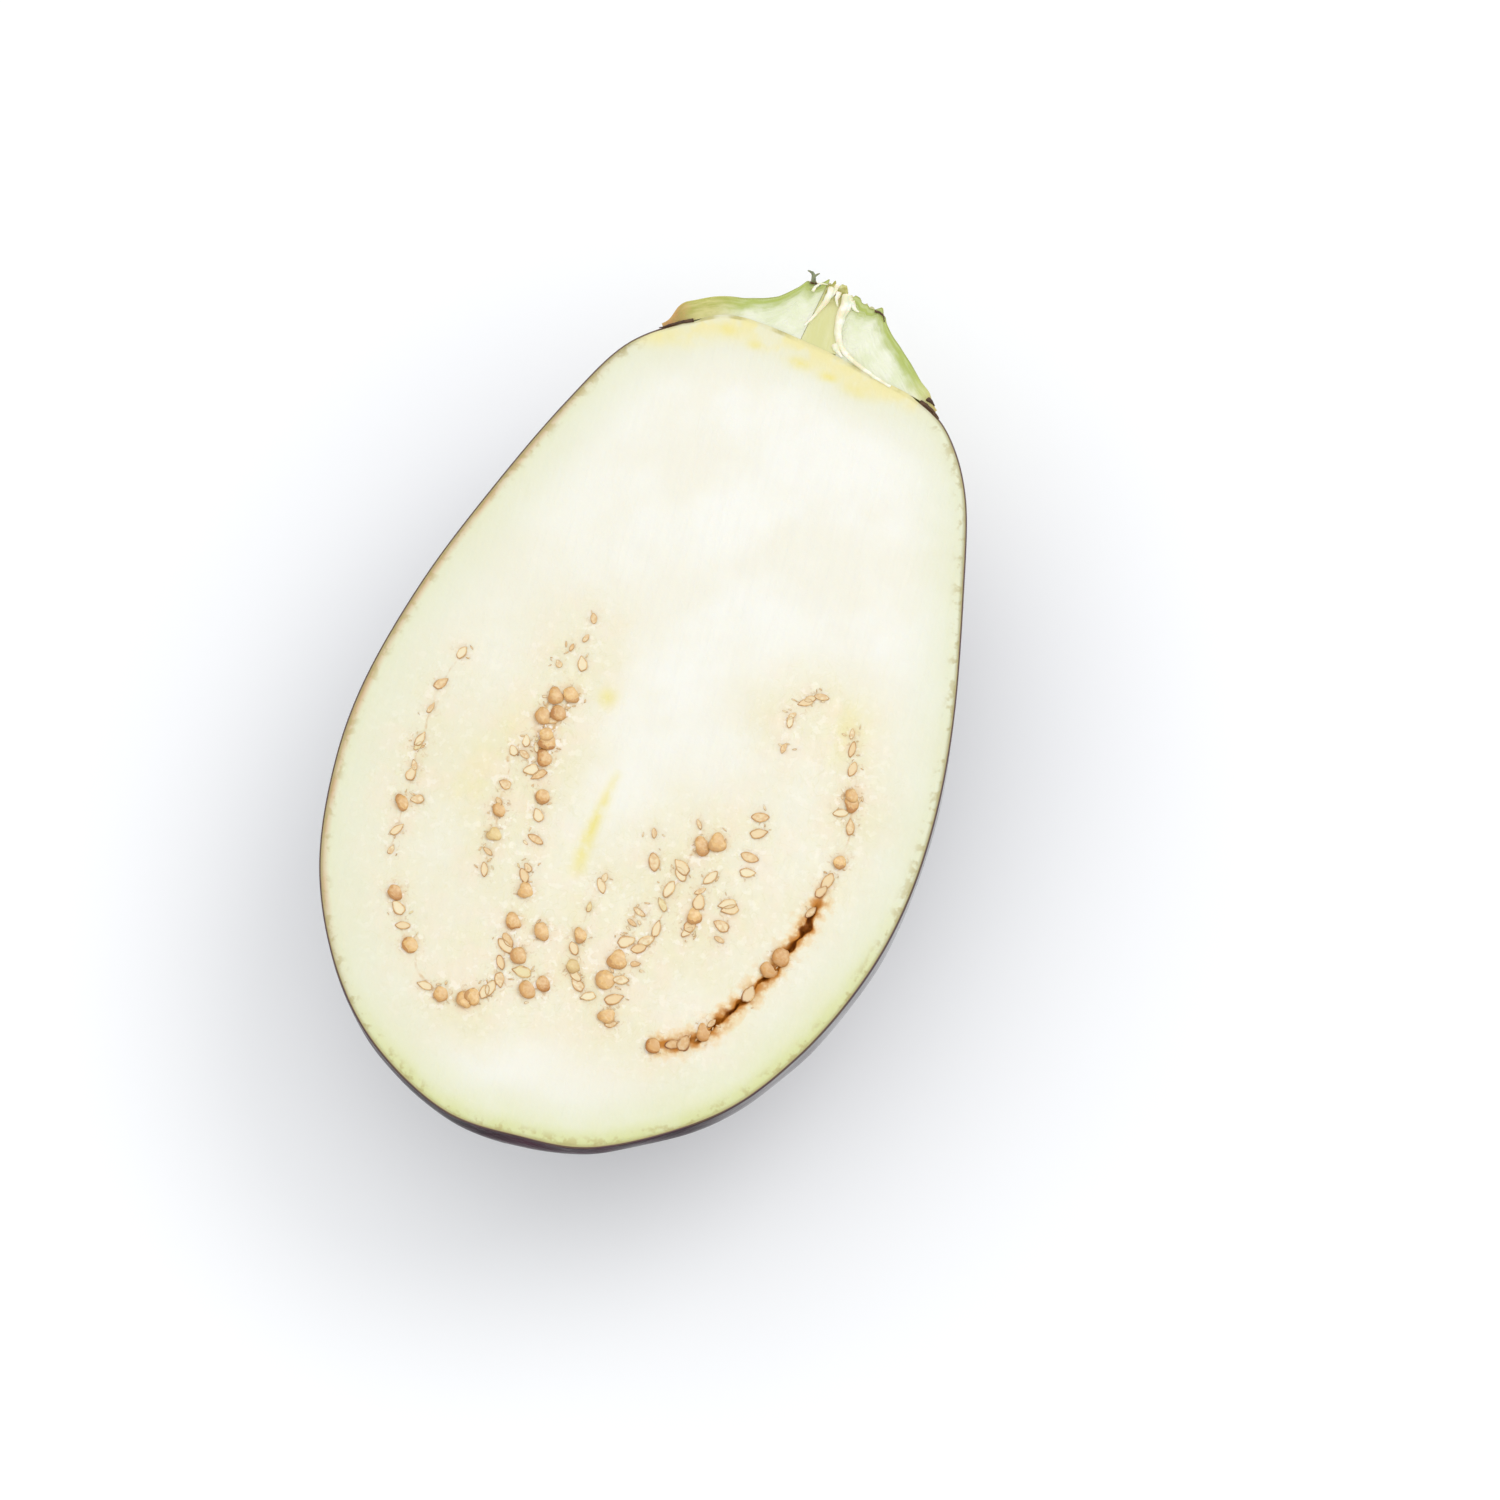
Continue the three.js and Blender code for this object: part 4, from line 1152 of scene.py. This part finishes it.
def seed_tree():
    """Sets one of the seed shapes on each point, turned and sized as the point says."""
    inputs = [
        ("Geometry", "NodeSocketGeometry", None), ("Shapes", "NodeSocketCollection", None),
        ("Length", "NodeSocketFloat", 0.003), ("Thickness", "NodeSocketFloat", 0.001),
        ("Material", "NodeSocketMaterial", None),
    ]
    output = ("Geometry", "NodeSocketGeometry")
    bench, given = start_tree("Place seeds", "GeometryNodeTree", inputs, output)

    def read(name, kind="FLOAT"):
        made = bench.node("GeometryNodeInputNamedAttribute", data_type=kind)
        made.inputs["Name"].default_value = name
        return made.outputs["Attribute"]

    values = {"Collection": given["Shapes"], "Separate Children": True, "Reset Children": True}
    shapes = bench.node("GeometryNodeCollectionInfo", values).outputs["Instances"]
    values = {
        "X": bench.times(given["Length"], read("long")),
        "Y": bench.times(given["Length"], read("wide")),
        "Z": given["Thickness"],
    }
    sized = bench.node("ShaderNodeCombineXYZ", values).outputs[0]
    values = {
        "Points": given["Geometry"], "Instance": shapes, "Pick Instance": True,
        "Instance Index": read("shape", "INT"), "Rotation": read("pose", "FLOAT_VECTOR"),
        "Scale": sized,
    }
    placed = bench.node("GeometryNodeInstanceOnPoints", values).outputs["Instances"]
    return finish_tree(bench, placed, given["Material"])


def run_nodes(name, holder, tree, values, spent=()):
    """The plain mesh that a node tree makes from the holder. The holder and what is spent go."""
    modifier = holder.modifiers.new(tree.name, "NODES")
    modifier.node_group = tree
    for item in tree.interface.items_tree:
        if item.in_out == "INPUT" and item.name in values:
            modifier[item.identifier] = values[item.name]
    bpy.context.view_layer.update()
    seen = holder.evaluated_get(bpy.context.evaluated_depsgraph_get())
    mesh = bpy.data.meshes.new_from_object(seen)
    mesh.name = name
    piece = add_object(name, mesh)
    for thing in [holder, *spent]:
        bpy.data.objects.remove(thing)
    if not mesh.polygons:
        raise RuntimeError(f"{name} came out empty")
    return piece


class EGGPLANT_OT_seeds(bpy.types.Operator):
    """Sets the seeds into the cut face"""

    bl_idname = "eggplant.seeds"
    bl_label = "Seeds"

    def execute(self, context):
        settings = context.scene.eggplant
        shapes = seed_shapes(settings.random_seed)
        values = {
            "Shapes": shapes, "Length": settings.seed_length,
            "Thickness": settings.seed_thickness, "Material": seed_material(settings.colours),
        }
        piece = run_nodes("seeds", seed_points(settings), seed_tree(), values, shapes.objects)
        bpy.data.collections.remove(shapes)
        settle(piece, "flesh")
        return {"FINISHED"}


# ---------- skin ----------

SKIN_ROWS = 170
SKIN_COLUMNS = 120
SCAR_DROP = 9.0  # of the blossom scar, from the cut face
BARE_REACH = 22.0  # how far from the calyx the skin is redder
SKIN_SWELL = 0.3  # how far the soft skin stands over the part's form, away from its edges
SWELL_FADE = 6.0  # over this height the swell fades out, at the cut and at the resting spot
SCAR_REACH = (1.0, 2.2)
SCAR_DEPTH = 0.3
EDGE_DROP = 0.12  # of the skin's cut edge, below the cut face and into its thickness


def calyx_gap(stations, angles):
    """How far each point of the skin lies from the edge of the calyx, over the surface."""
    fine = np.linspace(LAST_STATION, 0, 700)
    lengths = lengths_along(fruit_point(fine[:, None], angles))
    reach = calyx_reach(np.degrees(angles[0]))
    columns = [
        np.interp(-stations[:, 0], -fine, lengths[:, n]) - reach[n] for n in range(len(reach))]
    return np.stack(columns, 1)


class EGGPLANT_OT_skin(bpy.types.Operator):
    """Builds the skin, a thin shell with its cut edge"""

    bl_idname = "eggplant.skin"
    bl_label = "Skin"

    def execute(self, context):
        settings = context.scene.eggplant
        thickness = settings.skin_thickness / MM
        stations = even_stations(SKIN_END, SKIN_ROWS)[:, None]
        angles = np.linspace(0, math.pi, SKIN_COLUMNS + 1)[None, :]
        outer, outwards = surface(stations, angles)
        below_edge = CUT_HEIGHT - outer[..., 2]
        free = smoothstep(below_edge, 0.0, SWELL_FADE) * smoothstep(outer[..., 2], 1.5, SWELL_FADE)
        swell = SKIN_SWELL + 0.16 * waviness(outer, 38.0, 21)
        swell += 0.05 * waviness(outer * (1, 0.2, 1), 9.0, 22)
        from_scar = np.linalg.norm(outer - (*BLOSSOM_END, CUT_HEIGHT - SCAR_DROP), axis=-1)
        scar = 1 - smoothstep(from_scar + 0.15 * waviness(outer, 1.5, 23), *SCAR_REACH)
        lift = np.maximum(swell, 0) * free - SCAR_DEPTH * scar * smoothstep(below_edge, 0.0, 1.0)
        outer = outer + outwards * lift[..., None]
        outer[:, [0, -1], 2] -= EDGE_DROP
        inner = fruit_point(stations, angles, np.full_like(stations, thickness))
        gap = calyx_gap(stations, angles)
        ragged = waviness(outer, 6.0, 24) * smoothstep(gap, 0, 4)
        near = np.maximum(1 - (gap + ragged) / BARE_REACH, 0)
        # Painted shade: low on the front, near the cut, the skin loses its gloss and coat, so that it
        # reads dark as if it mirrored only the shadow on the floor.
        dull = smoothstep(-0.4 * outer[..., 0] - outer[..., 1], 25.0, 55.0)
        dull = dull * (1 - smoothstep(below_edge, 5.0, 18.0))
        marks = {"scar": scar, "near_calyx": near, "dull": dull, "depth": 0 * near}
        sheets = [(outer, 0, marks), (inner, 1, {**marks, "depth": 1.0})]
        for column in (0, -1):
            chamfer = fruit_point(stations, angles[:, [column]], np.full_like(stations, EDGE_DROP))
            edge = np.concatenate([outer[:, [column]], chamfer, inner[:, [column]]], 1)
            edge_marks = marks_at(marks, np.s_[:, [column]])
            sheets.append((edge, 1, {**edge_marks, "depth": np.array([[0.0, 0.25, 1.0]])}))
        for row in (0, -1):
            end_marks = marks_at(marks, row)
            end_marks["depth"] = np.array([[0.0], [1.0]])
            sheets.append((np.stack([outer[row], inner[row]]), 1, end_marks))
        materials = [skin_material(settings.colours), skin_edge_material()]
        piece = build_piece("skin_shell", sheets, materials)
        settle(piece, "skin", "skin")
        return {"FINISHED"}


# ---------- calyx ----------

CALYX_ROWS = 90
CALYX_COLUMNS = 260
SECTION_LAYERS = 14
ROW_CROWDING = 1.15  # how much closer the rows of the calyx stand towards the stalk
CALYX_GAP = 0.1  # over the skin; the calyx has grown together with the flesh
WRINKLE_HEIGHT = 0.16
CREASE_HEIGHT = 0.07
TEAR_HEIGHT = 0.5  # of the ragged top, round the stalk
CORE_TAPER = 0.12  # how much the core narrows for each millimetre of its height
SECTION_DROP = 0.05  # of the cut faces of the calyx and the stalk, below that of the flesh


def profile(pairs, distance, softness=0.5):
    """Height at a distance, on straight lines between the pairs with their corners softened."""
    places, heights = zip(*pairs)
    shifts = softness * np.linspace(-1, 1, 5)
    return sum(np.interp(distance + shift, places, heights) for shift in shifts) / len(shifts)


def calyx_reach(degrees):
    places, reaches = (np.array(values, float) for values in zip(*CALYX_REACH))
    span = np.clip(np.searchsorted(places, degrees, side="right") - 1, 0, len(places) - 2)
    share = (degrees - places[span]) / (places[span + 1] - places[span])
    start, end = reaches[span], reaches[span + 1]
    rising = share ** LOBE_SHARPNESS
    falling = 1 - (1 - share) ** LOBE_SHARPNESS
    return start + (end - start) * np.where(end > start, rising, falling)


def lobe_middle(degrees, width):
    """1 along the middle of a lobe and 0 in the notches."""
    return np.max([np.exp(-(((degrees - tip) / width) ** 2)) for tip in LOBE_TIPS], axis=0)


def shoulder(angles, distances):
    """Points of the fruit, and the ways out of it, by distance from the stalk's middle."""
    stations = np.linspace(LAST_STATION, SKIN_END - 5, 241)
    lengths = lengths_along(fruit_point(stations[:, None], angles[None, :]))
    found = np.stack(
        [np.interp(distances[:, n], lengths[:, n], stations) for n in range(len(angles))], 1)
    return surface(found, angles[None, :])


class EGGPLANT_OT_calyx(bpy.types.Operator):
    """Builds the calyx, with its lobes on the skin and its cut section"""

    bl_idname = "eggplant.calyx"
    bl_label = "Calyx"

    def execute(self, context):
        settings = context.scene.eggplant
        angles = np.linspace(0, math.pi, CALYX_COLUMNS + 1)
        degrees = np.degrees(angles)[None, :]
        reach = calyx_reach(degrees)
        rows = np.linspace(0, 1, CALYX_ROWS + 1)[:, None] ** ROW_CROWDING
        distance = CALYX_INNER + (reach - CALYX_INNER) * rows
        base, out = shoulder(angles, distance)
        upright = (1 - smoothstep(distance, CALYX_INNER, 6.0))[..., None]
        spread = base - (*STALK_END, CUT_HEIGHT)
        spread /= np.linalg.norm(spread, axis=-1, keepdims=True)
        out = out * (1 - upright) + (STALK_WAY - CORE_TAPER * spread) * upright
        out /= np.linalg.norm(out, axis=-1, keepdims=True)
        ridge = lobe_middle(degrees, RIB_WIDTH) + 0 * distance
        left = (1 - np.cos(angles))[None, :] / 2
        body = profile(CALYX_RIGHT, distance) * (1 - left) + profile(CALYX_LEFT, distance) * left
        thin = smoothstep(rows, 0.85, 1.0)
        thickness = np.maximum(body - CALYX_GAP, CALYX_EDGE_THICKNESS)
        thickness = thickness * (1 - thin) + 0.7 * CALYX_EDGE_THICKNESS * thin
        from_cut = np.minimum(angles, math.pi - angles)[None, :] * distance
        free = smoothstep(from_cut, 0.0, 3.0)
        curl = waviness(base, 9.0, 31) * smoothstep(rows, 0.55, 1.0) * free
        parting = np.minimum(reach - 5, 22)
        lift = CALYX_GAP * smoothstep(distance, parting, parting + 2)
        lift -= 0.1 * (1 - smoothstep(distance, parting - 2, parting + 1))
        lift = lift + 0.9 * TIP_LIFT * ridge * smoothstep(distance, 30, 44)
        lift += np.maximum(0.6 * curl + 0.35, 0) * smoothstep(rows, 0.6, 1.0) * free
        wrinkles = waviness(np.stack([degrees / 3.2 + 0 * distance, distance / 7.0], -1), 2.2, 32)
        creases = waviness(base, 2.2, 33)
        top = RIB_HEIGHT * ridge * smoothstep(distance, 10, 16)
        rough = WRINKLE_HEIGHT * wrinkles + CREASE_HEIGHT * creases
        top = top + free * smoothstep(distance, 8, 14) * rough
        torn = 1 - smoothstep(distance, 5.0, 8.0)
        top = top + TEAR_HEIGHT * torn * waviness(base + thickness[..., None] * out, 1.6, 34)
        under = base + out * lift[..., None]
        over = base + out * (lift + thickness + top)[..., None]
        over[..., 2] = np.minimum(over[..., 2], CUT_HEIGHT)
        over[:, [0, -1], 2] -= SECTION_DROP
        under[:, [0, -1], 2] -= SECTION_DROP
        tips = smoothstep(rows, 0.82, 1.0) * np.clip(0.75 + 0.5 * waviness(base, 4.0, 35), 0, 1)
        tall = np.linalg.norm(over - under, axis=-1)
        marks = {
            "along": rows + 0 * distance, "ridge": ridge, "dry": tips, "away": distance,
            "left": left + 0 * distance, "browned": smoothstep(rows, 0.8, 0.97) + 0 * distance,
        }
        sheets = [(over, 0, marks), (under, 0, {**marks, "below": tall})]
        layers = np.linspace(0, 1, SECTION_LAYERS + 1)[None, :, None]
        for column in (0, -1):
            cut = under[:, [column]] * (1 - layers) + over[:, [column]] * layers
            section = marks_at(marks, np.s_[:, [column]])
            section["below"] = tall[:, [column]] * (1 - layers[..., 0])
            sheets.append((cut, 1, section))
        layers = layers[0][:, None]
        for row in (0, -1):
            wall = under[row][None] * (1 - layers) + over[row][None] * layers
            ending = marks_at(marks, row)
            ending["below"] = tall[row] * (1 - layers[..., 0])
            sheets.append((wall, 0, ending))
        materials = [calyx_material(settings.colours), calyx_section_material(settings.colours)]
        piece = build_piece("calyx_cap", sheets, materials)
        settle(piece, "calyx", "calyx")
        return {"FINISHED"}


# ---------- stalk ----------

STALK_RINGS = 14
STALK_COLUMNS = 60
STALK_LEVELS = 40
STALK_ROOT = 0.3  # how far the core reaches into the flesh
STALK_TEAR = 0.45  # height of the ragged top
FIBRE_LIFT = 0.05  # of the fibres over the cut face
FIBRE_POINTS = 40
FIBRE_SIDES = 8
FIBRE_WAVER = 0.4 * MM
WAVERS_PER_METRE = 900.0
FIBRE_TIP = 0.3  # thickness of a fibre's end over that of its root

# Fibres that part from the core: their paths on the cut face, the thickness over a full one, and
# the height over the cut face at the top.
FIBRES = [
    ([(11.7, 85.4), (11.9, 83.8), (11.6, 81.4), (12.0, 78.6), (13.1, 76.3), (15.4, 74.6),
      (19.0, 72.9), (23.0, 71.6)], 2.6, 0.3),
    ([(12.4, 85.0), (12.5, 83.4), (12.2, 81.6), (12.3, 79.8)], 1.8, 0.5),
    ([(9.0, 86.0), (8.6, 83.6), (7.6, 81.2), (6.2, 78.4)], 1.9, 0.3),
    ([(9.8, 86.6), (9.5, 85.2), (8.9, 83.8)], 1.3, 0.8),
    ([(10.4, 85.6), (10.3, 84.4), (10.7, 83.2)], 1.5, 0.5),
    ([(6.0, 84.6), (6.3, 85.8), (7.2, 86.5), (8.2, 86.6)], 0.9, 0.5),
    ([(12.9, 84.6), (13.5, 83.6), (14.4, 83.2)], 1.5, 0.5),
    ([(12.0, 76.5), (12.8, 75.4), (13.8, 74.6)], 2.0, 0.0),
]
# Brown ones: on the torn top, and at the ends of the calyx's cut faces.
DRY_FIBRES = [
    ([(5.3, 86.2), (6.0, 86.3), (6.9, 86.0)], 0.9, 0.4),
    ([(17.0, 84.0), (17.9, 84.0), (18.7, 83.4), (19.1, 82.6)], 0.7, 0.1),
    ([(-12.2, 74.6), (-13.0, 74.1), (-14.4, 73.5), (-16.1, 72.5), (-17.4, 71.6)], 1.1, 0.0),
    ([(28.6, 70.3), (29.8, 69.9), (31.2, 69.1), (32.3, 68.2)], 1.1, 0.0),
    ([(29.6, 71.2), (30.3, 70.8), (31.0, 70.2)], 1.3, 0.0),
]
# A forked scrap of rind, which stands on the first of the brown ones.
TORN_BITS = [
    ([(5.7, 86.2), (5.5, 87.0), (5.2, 87.8), (4.7, 88.1), (4.2, 88.2)], 1.3, 0.7),
    ([(5.7, 86.2), (5.5, 87.1), (5.9, 87.8), (6.3, 88.2)], 1.0, 0.7),
]


class EGGPLANT_OT_stalk(bpy.types.Operator):
    """Builds the stringy core of the stalk, with its torn top"""

    bl_idname = "eggplant.stalk"
    bl_label = "Stalk"

    def execute(self, context):
        settings = context.scene.eggplant
        angles = np.linspace(0, math.pi, STALK_COLUMNS + 1)
        foot = np.array([*STALK_END, CUT_HEIGHT - SECTION_DROP])

        def place(radius, angle, height):
            radius = radius * (1 - CORE_TAPER * height / STALK_RADIUS)
            side = (radius * np.cos(angle))[..., None] * STALK_ACROSS
            down = (radius * np.sin(angle))[..., None] * np.array([0, 0, -1.0])
            point = foot + side + down + height[..., None] * STALK_WAY
            ragged = STALK_TEAR * waviness(side + down, 1.3, 41) * smoothstep(height, 6.0, STALK_HEIGHT)
            return point + ragged[..., None] * STALK_WAY

        def marked(radius, angle, height):
            radius, angle, height = np.broadcast_arrays(radius, angle, height)
            return place(radius, angle, height), 0, {"height": height}

        radii = np.linspace(0, STALK_RADIUS, STALK_RINGS + 1)[:, None]
        levels = np.linspace(-STALK_ROOT, STALK_HEIGHT, STALK_LEVELS + 1)[:, None]
        sheets = [
            marked(radii, angles[None, :], STALK_HEIGHT), marked(radii, angles[None, :], -STALK_ROOT),
            marked(STALK_RADIUS, angles[None, :], levels),
            marked(radii.T, 0.0, levels), marked(radii.T, math.pi, levels),
        ]
        piece = build_piece("stalk_core", sheets, [stalk_material(settings.colours)])
        settle(piece, "stalk", "stalk")
        return {"FINISHED"}


def fibre_tree():
    """Thick strings along curves: each wavers a little and is as thick as its radius says."""
    inputs = [
        ("Geometry", "NodeSocketGeometry", None), ("Radius", "NodeSocketFloat", 0.0003),
        ("Waver", "NodeSocketFloat", 0.0001), ("Sides", "NodeSocketInt", 8),
        ("Material", "NodeSocketMaterial", None),
    ]
    output = ("Geometry", "NodeSocketGeometry")
    bench, given = start_tree("Draw fibres", "GeometryNodeTree", inputs, output)
    values = {"Curve": given["Geometry"], "Count": FIBRE_POINTS}
    even = bench.node("GeometryNodeResampleCurve", values).outputs["Curve"]
    values = {"Scale": WAVERS_PER_METRE, "Detail": 2.0}
    noise = bench.node("ShaderNodeTexNoise", values).outputs["Color"]
    level = bench.vector_math("SUBTRACT", noise, (0.5, 0.5, 0.5))
    shift = bench.vector_math("SCALE", level, Scale=given["Waver"])
    values = {"Geometry": even, "Offset": shift}
    moved = bench.node("GeometryNodeSetPosition", values).outputs["Geometry"]
    values = {"Radius": given["Radius"], "Resolution": given["Sides"]}
    circle = bench.node("GeometryNodeCurvePrimitiveCircle", values).outputs["Curve"]
    thickness = bench.node("GeometryNodeInputRadius").outputs["Radius"]
    values = {"Curve": moved, "Profile Curve": circle, "Fill Caps": True, "Scale": thickness}
    swept = bench.node("GeometryNodeCurveToMesh", values).outputs["Mesh"]
    smooth = bench.node("GeometryNodeSetShadeSmooth", {"Geometry": swept}).outputs["Geometry"]
    return finish_tree(bench, smooth, given["Material"])


class EGGPLANT_OT_fibres(bpy.types.Operator):
    """Lays the white fibres beside the core and out of its torn top"""

    bl_idname = "eggplant.fibres"
    bl_label = "Fibres"

    def execute(self, context):
        settings = context.scene.eggplant
        material = fibre_material("Eggplant fibres", "faf7e6", "ece5c0")
        lay_fibres("stalk_fibres", FIBRES, settings, material)
        material = fibre_material("Eggplant dry fibres", "3c2210", "5c3c1c")
        lay_fibres("dry_fibres", DRY_FIBRES, settings, material)
        material = fibre_material("Eggplant torn bits", "5e6246", "8b9068")
        lay_fibres("torn_bits", TORN_BITS, settings, material)
        return {"FINISHED"}


def lay_fibres(name, fibres, settings, material):
    """One piece of fibres that share a material, on the cut face of the stalk."""
    curve = bpy.data.curves.new("Fibre paths", "CURVE")
    curve.dimensions = "3D"
    for path, thickness, raised in fibres:
        places, _ = smooth_curve(path, np.linspace(0, 1, 25))
        spline = curve.splines.new("POLY")
        spline.points.add(len(places) - 1)
        for n, (point, (x, y)) in enumerate(zip(spline.points, places)):
            share = n / (len(places) - 1)
            height = CUT_HEIGHT + FIBRE_LIFT + raised * (1 - share) ** 2
            point.co = (x * MM, y * MM, height * MM, 1.0)
            point.radius = thickness * (FIBRE_TIP + 0.7 * math.cos(0.5 * math.pi * share) ** 1.5)
    values = {
        "Radius": settings.fibre_radius, "Waver": FIBRE_WAVER, "Sides": FIBRE_SIDES,
        "Material": material,
    }
    piece = run_nodes(name, add_object("Fibre paths", curve), fibre_tree(), values)
    settle(piece, "stalk")


# ---------- stage ----------

CAMERA_AZIMUTH = math.radians(15)
CAMERA_ELEVATION = math.radians(74)
CAMERA_DISTANCE = 0.93
CAMERA_TARGET = Vector((16.6, 4.0, CUT_HEIGHT)) * MM
CAMERA_LENS = 135
CAMERA_SENSOR = 36
LAMP_TARGET = Vector((0.0, 0.0, 0.03))
# Place, size, share of the main lamp's power and colour.
LAMPS = {
    "Main lamp": ((0.85, 1.05, 1.75), 1.3, 1.0, (1.0, 1.0, 1.0)),
    "Front lamp": ((-0.6, -1.5, 0.75), 1.0, 0.3, (0.96, 0.98, 1.0)),
    "Back lamp": ((-1.4, 0.9, 0.7), 0.9, 0.18, (0.98, 0.99, 1.0)),
}
FLOOR_SIZE = 6.0
WORLD_COLOUR = (0.965, 0.98, 1.0)
WORLD_STRENGTHS = (0.87, 1.06)  # at the horizon and overhead


def aim(thing, place, target):
    thing.location = place
    thing.rotation_mode = "QUATERNION"
    thing.rotation_quaternion = (target - place).to_track_quat("-Z", "Y")


def add_lamp(name, place, size, power, colour):
    lamp = bpy.data.lights.new(name, "AREA")
    lamp.shape = "DISK"
    lamp.size = size
    lamp.energy = power
    lamp.color = colour
    aim(add_object(name, lamp), Vector(place), LAMP_TARGET)


class EGGPLANT_OT_stage(bpy.types.Operator):
    """Sets the plain floor, the soft light and the camera"""

    bl_idname = "eggplant.stage"
    bl_label = "Stage"

    def execute(self, context):
        power = context.scene.eggplant.light
        corner = FLOOR_SIZE / 2
        mesh = bpy.data.meshes.new("Floor")
        corners = [(-corner, -corner, 0), (corner, -corner, 0), (corner, corner, 0), (-corner, corner, 0)]
        mesh.from_pydata(corners, [], [(0, 1, 2, 3)])
        bench = MaterialBench("Plain floor", roughness=0.35)
        bench.colour = bench.mix(bench.mottle(size=400.0, low=0.3, high=0.7), "f8f8f9", "fafafa")
        mesh.materials.append(bench.finish())
        floor = add_object("Floor", mesh)

        for name, (place, size, share, colour) in LAMPS.items():
            add_lamp(name, place, size, share * power, colour)

        world = bpy.data.worlds.new("White surround")
        world.use_nodes = True
        bench = NodeBench(world.node_tree)
        background = world.node_tree.nodes["Background"]
        bench.feed(background.inputs["Color"], WORLD_COLOUR)
        way = bench.node("ShaderNodeTexCoord").outputs["Generated"]
        rise = bench.node("ShaderNodeSeparateXYZ", {"Vector": way}).outputs["Z"]
        bench.feed(background.inputs["Strength"], bench.between(rise, 0.0, 0.9, *WORLD_STRENGTHS))
        context.scene.world = world

        camera = bpy.data.cameras.new("Camera")
        camera.sensor_width = CAMERA_SENSOR
        camera.lens = CAMERA_LENS
        back = Vector((
            math.sin(CAMERA_AZIMUTH) * math.cos(CAMERA_ELEVATION),
            -math.cos(CAMERA_AZIMUTH) * math.cos(CAMERA_ELEVATION),
            math.sin(CAMERA_ELEVATION),
        ))
        viewer = add_object("Camera", camera)
        aim(viewer, CAMERA_TARGET + back * CAMERA_DISTANCE, CAMERA_TARGET)
        context.scene.camera = viewer
        context.scene.view_settings.view_transform = "Standard"
        return {"FINISHED"}


# ---------- the add-on ----------

class EGGPLANT_PT_panel(bpy.types.Panel):
    """Lists the pieces and their settings"""

    bl_idname = "EGGPLANT_PT_panel"
    bl_label = "Eggplant Half"
    bl_space_type = "VIEW_3D"
    bl_region_type = "UI"
    bl_category = "Eggplant"

    def draw(self, context):
        settings = context.scene.eggplant
        column = self.layout.column(align=True)
        for operator in OPERATORS:
            column.operator(operator.bl_idname)
        for name in settings.__annotations__:
            if name != "colours":
                self.layout.prop(settings, name)
        for name in settings.colours.__annotations__:
            self.layout.prop(settings.colours, name)


OPERATORS = (
    EGGPLANT_OT_stage, EGGPLANT_OT_flesh, EGGPLANT_OT_seeds, EGGPLANT_OT_skin, EGGPLANT_OT_calyx,
    EGGPLANT_OT_stalk, EGGPLANT_OT_fibres,
)
CLASSES = (EggplantColours, EggplantSettings, *OPERATORS, EGGPLANT_PT_panel)


def register():
    for cls in CLASSES:
        bpy.utils.register_class(cls)
    bpy.types.Scene.eggplant = PointerProperty(type=EggplantSettings)


def unregister():
    del bpy.types.Scene.eggplant
    for cls in reversed(CLASSES):
        bpy.utils.unregister_class(cls)


def main():
    register()
    bpy.ops.eggplant.stage()
    bpy.ops.eggplant.flesh()
    bpy.ops.eggplant.seeds()
    bpy.ops.eggplant.skin()
    bpy.ops.eggplant.calyx()
    bpy.ops.eggplant.stalk()
    bpy.ops.eggplant.fibres()


if __name__ == "__main__":
    main()
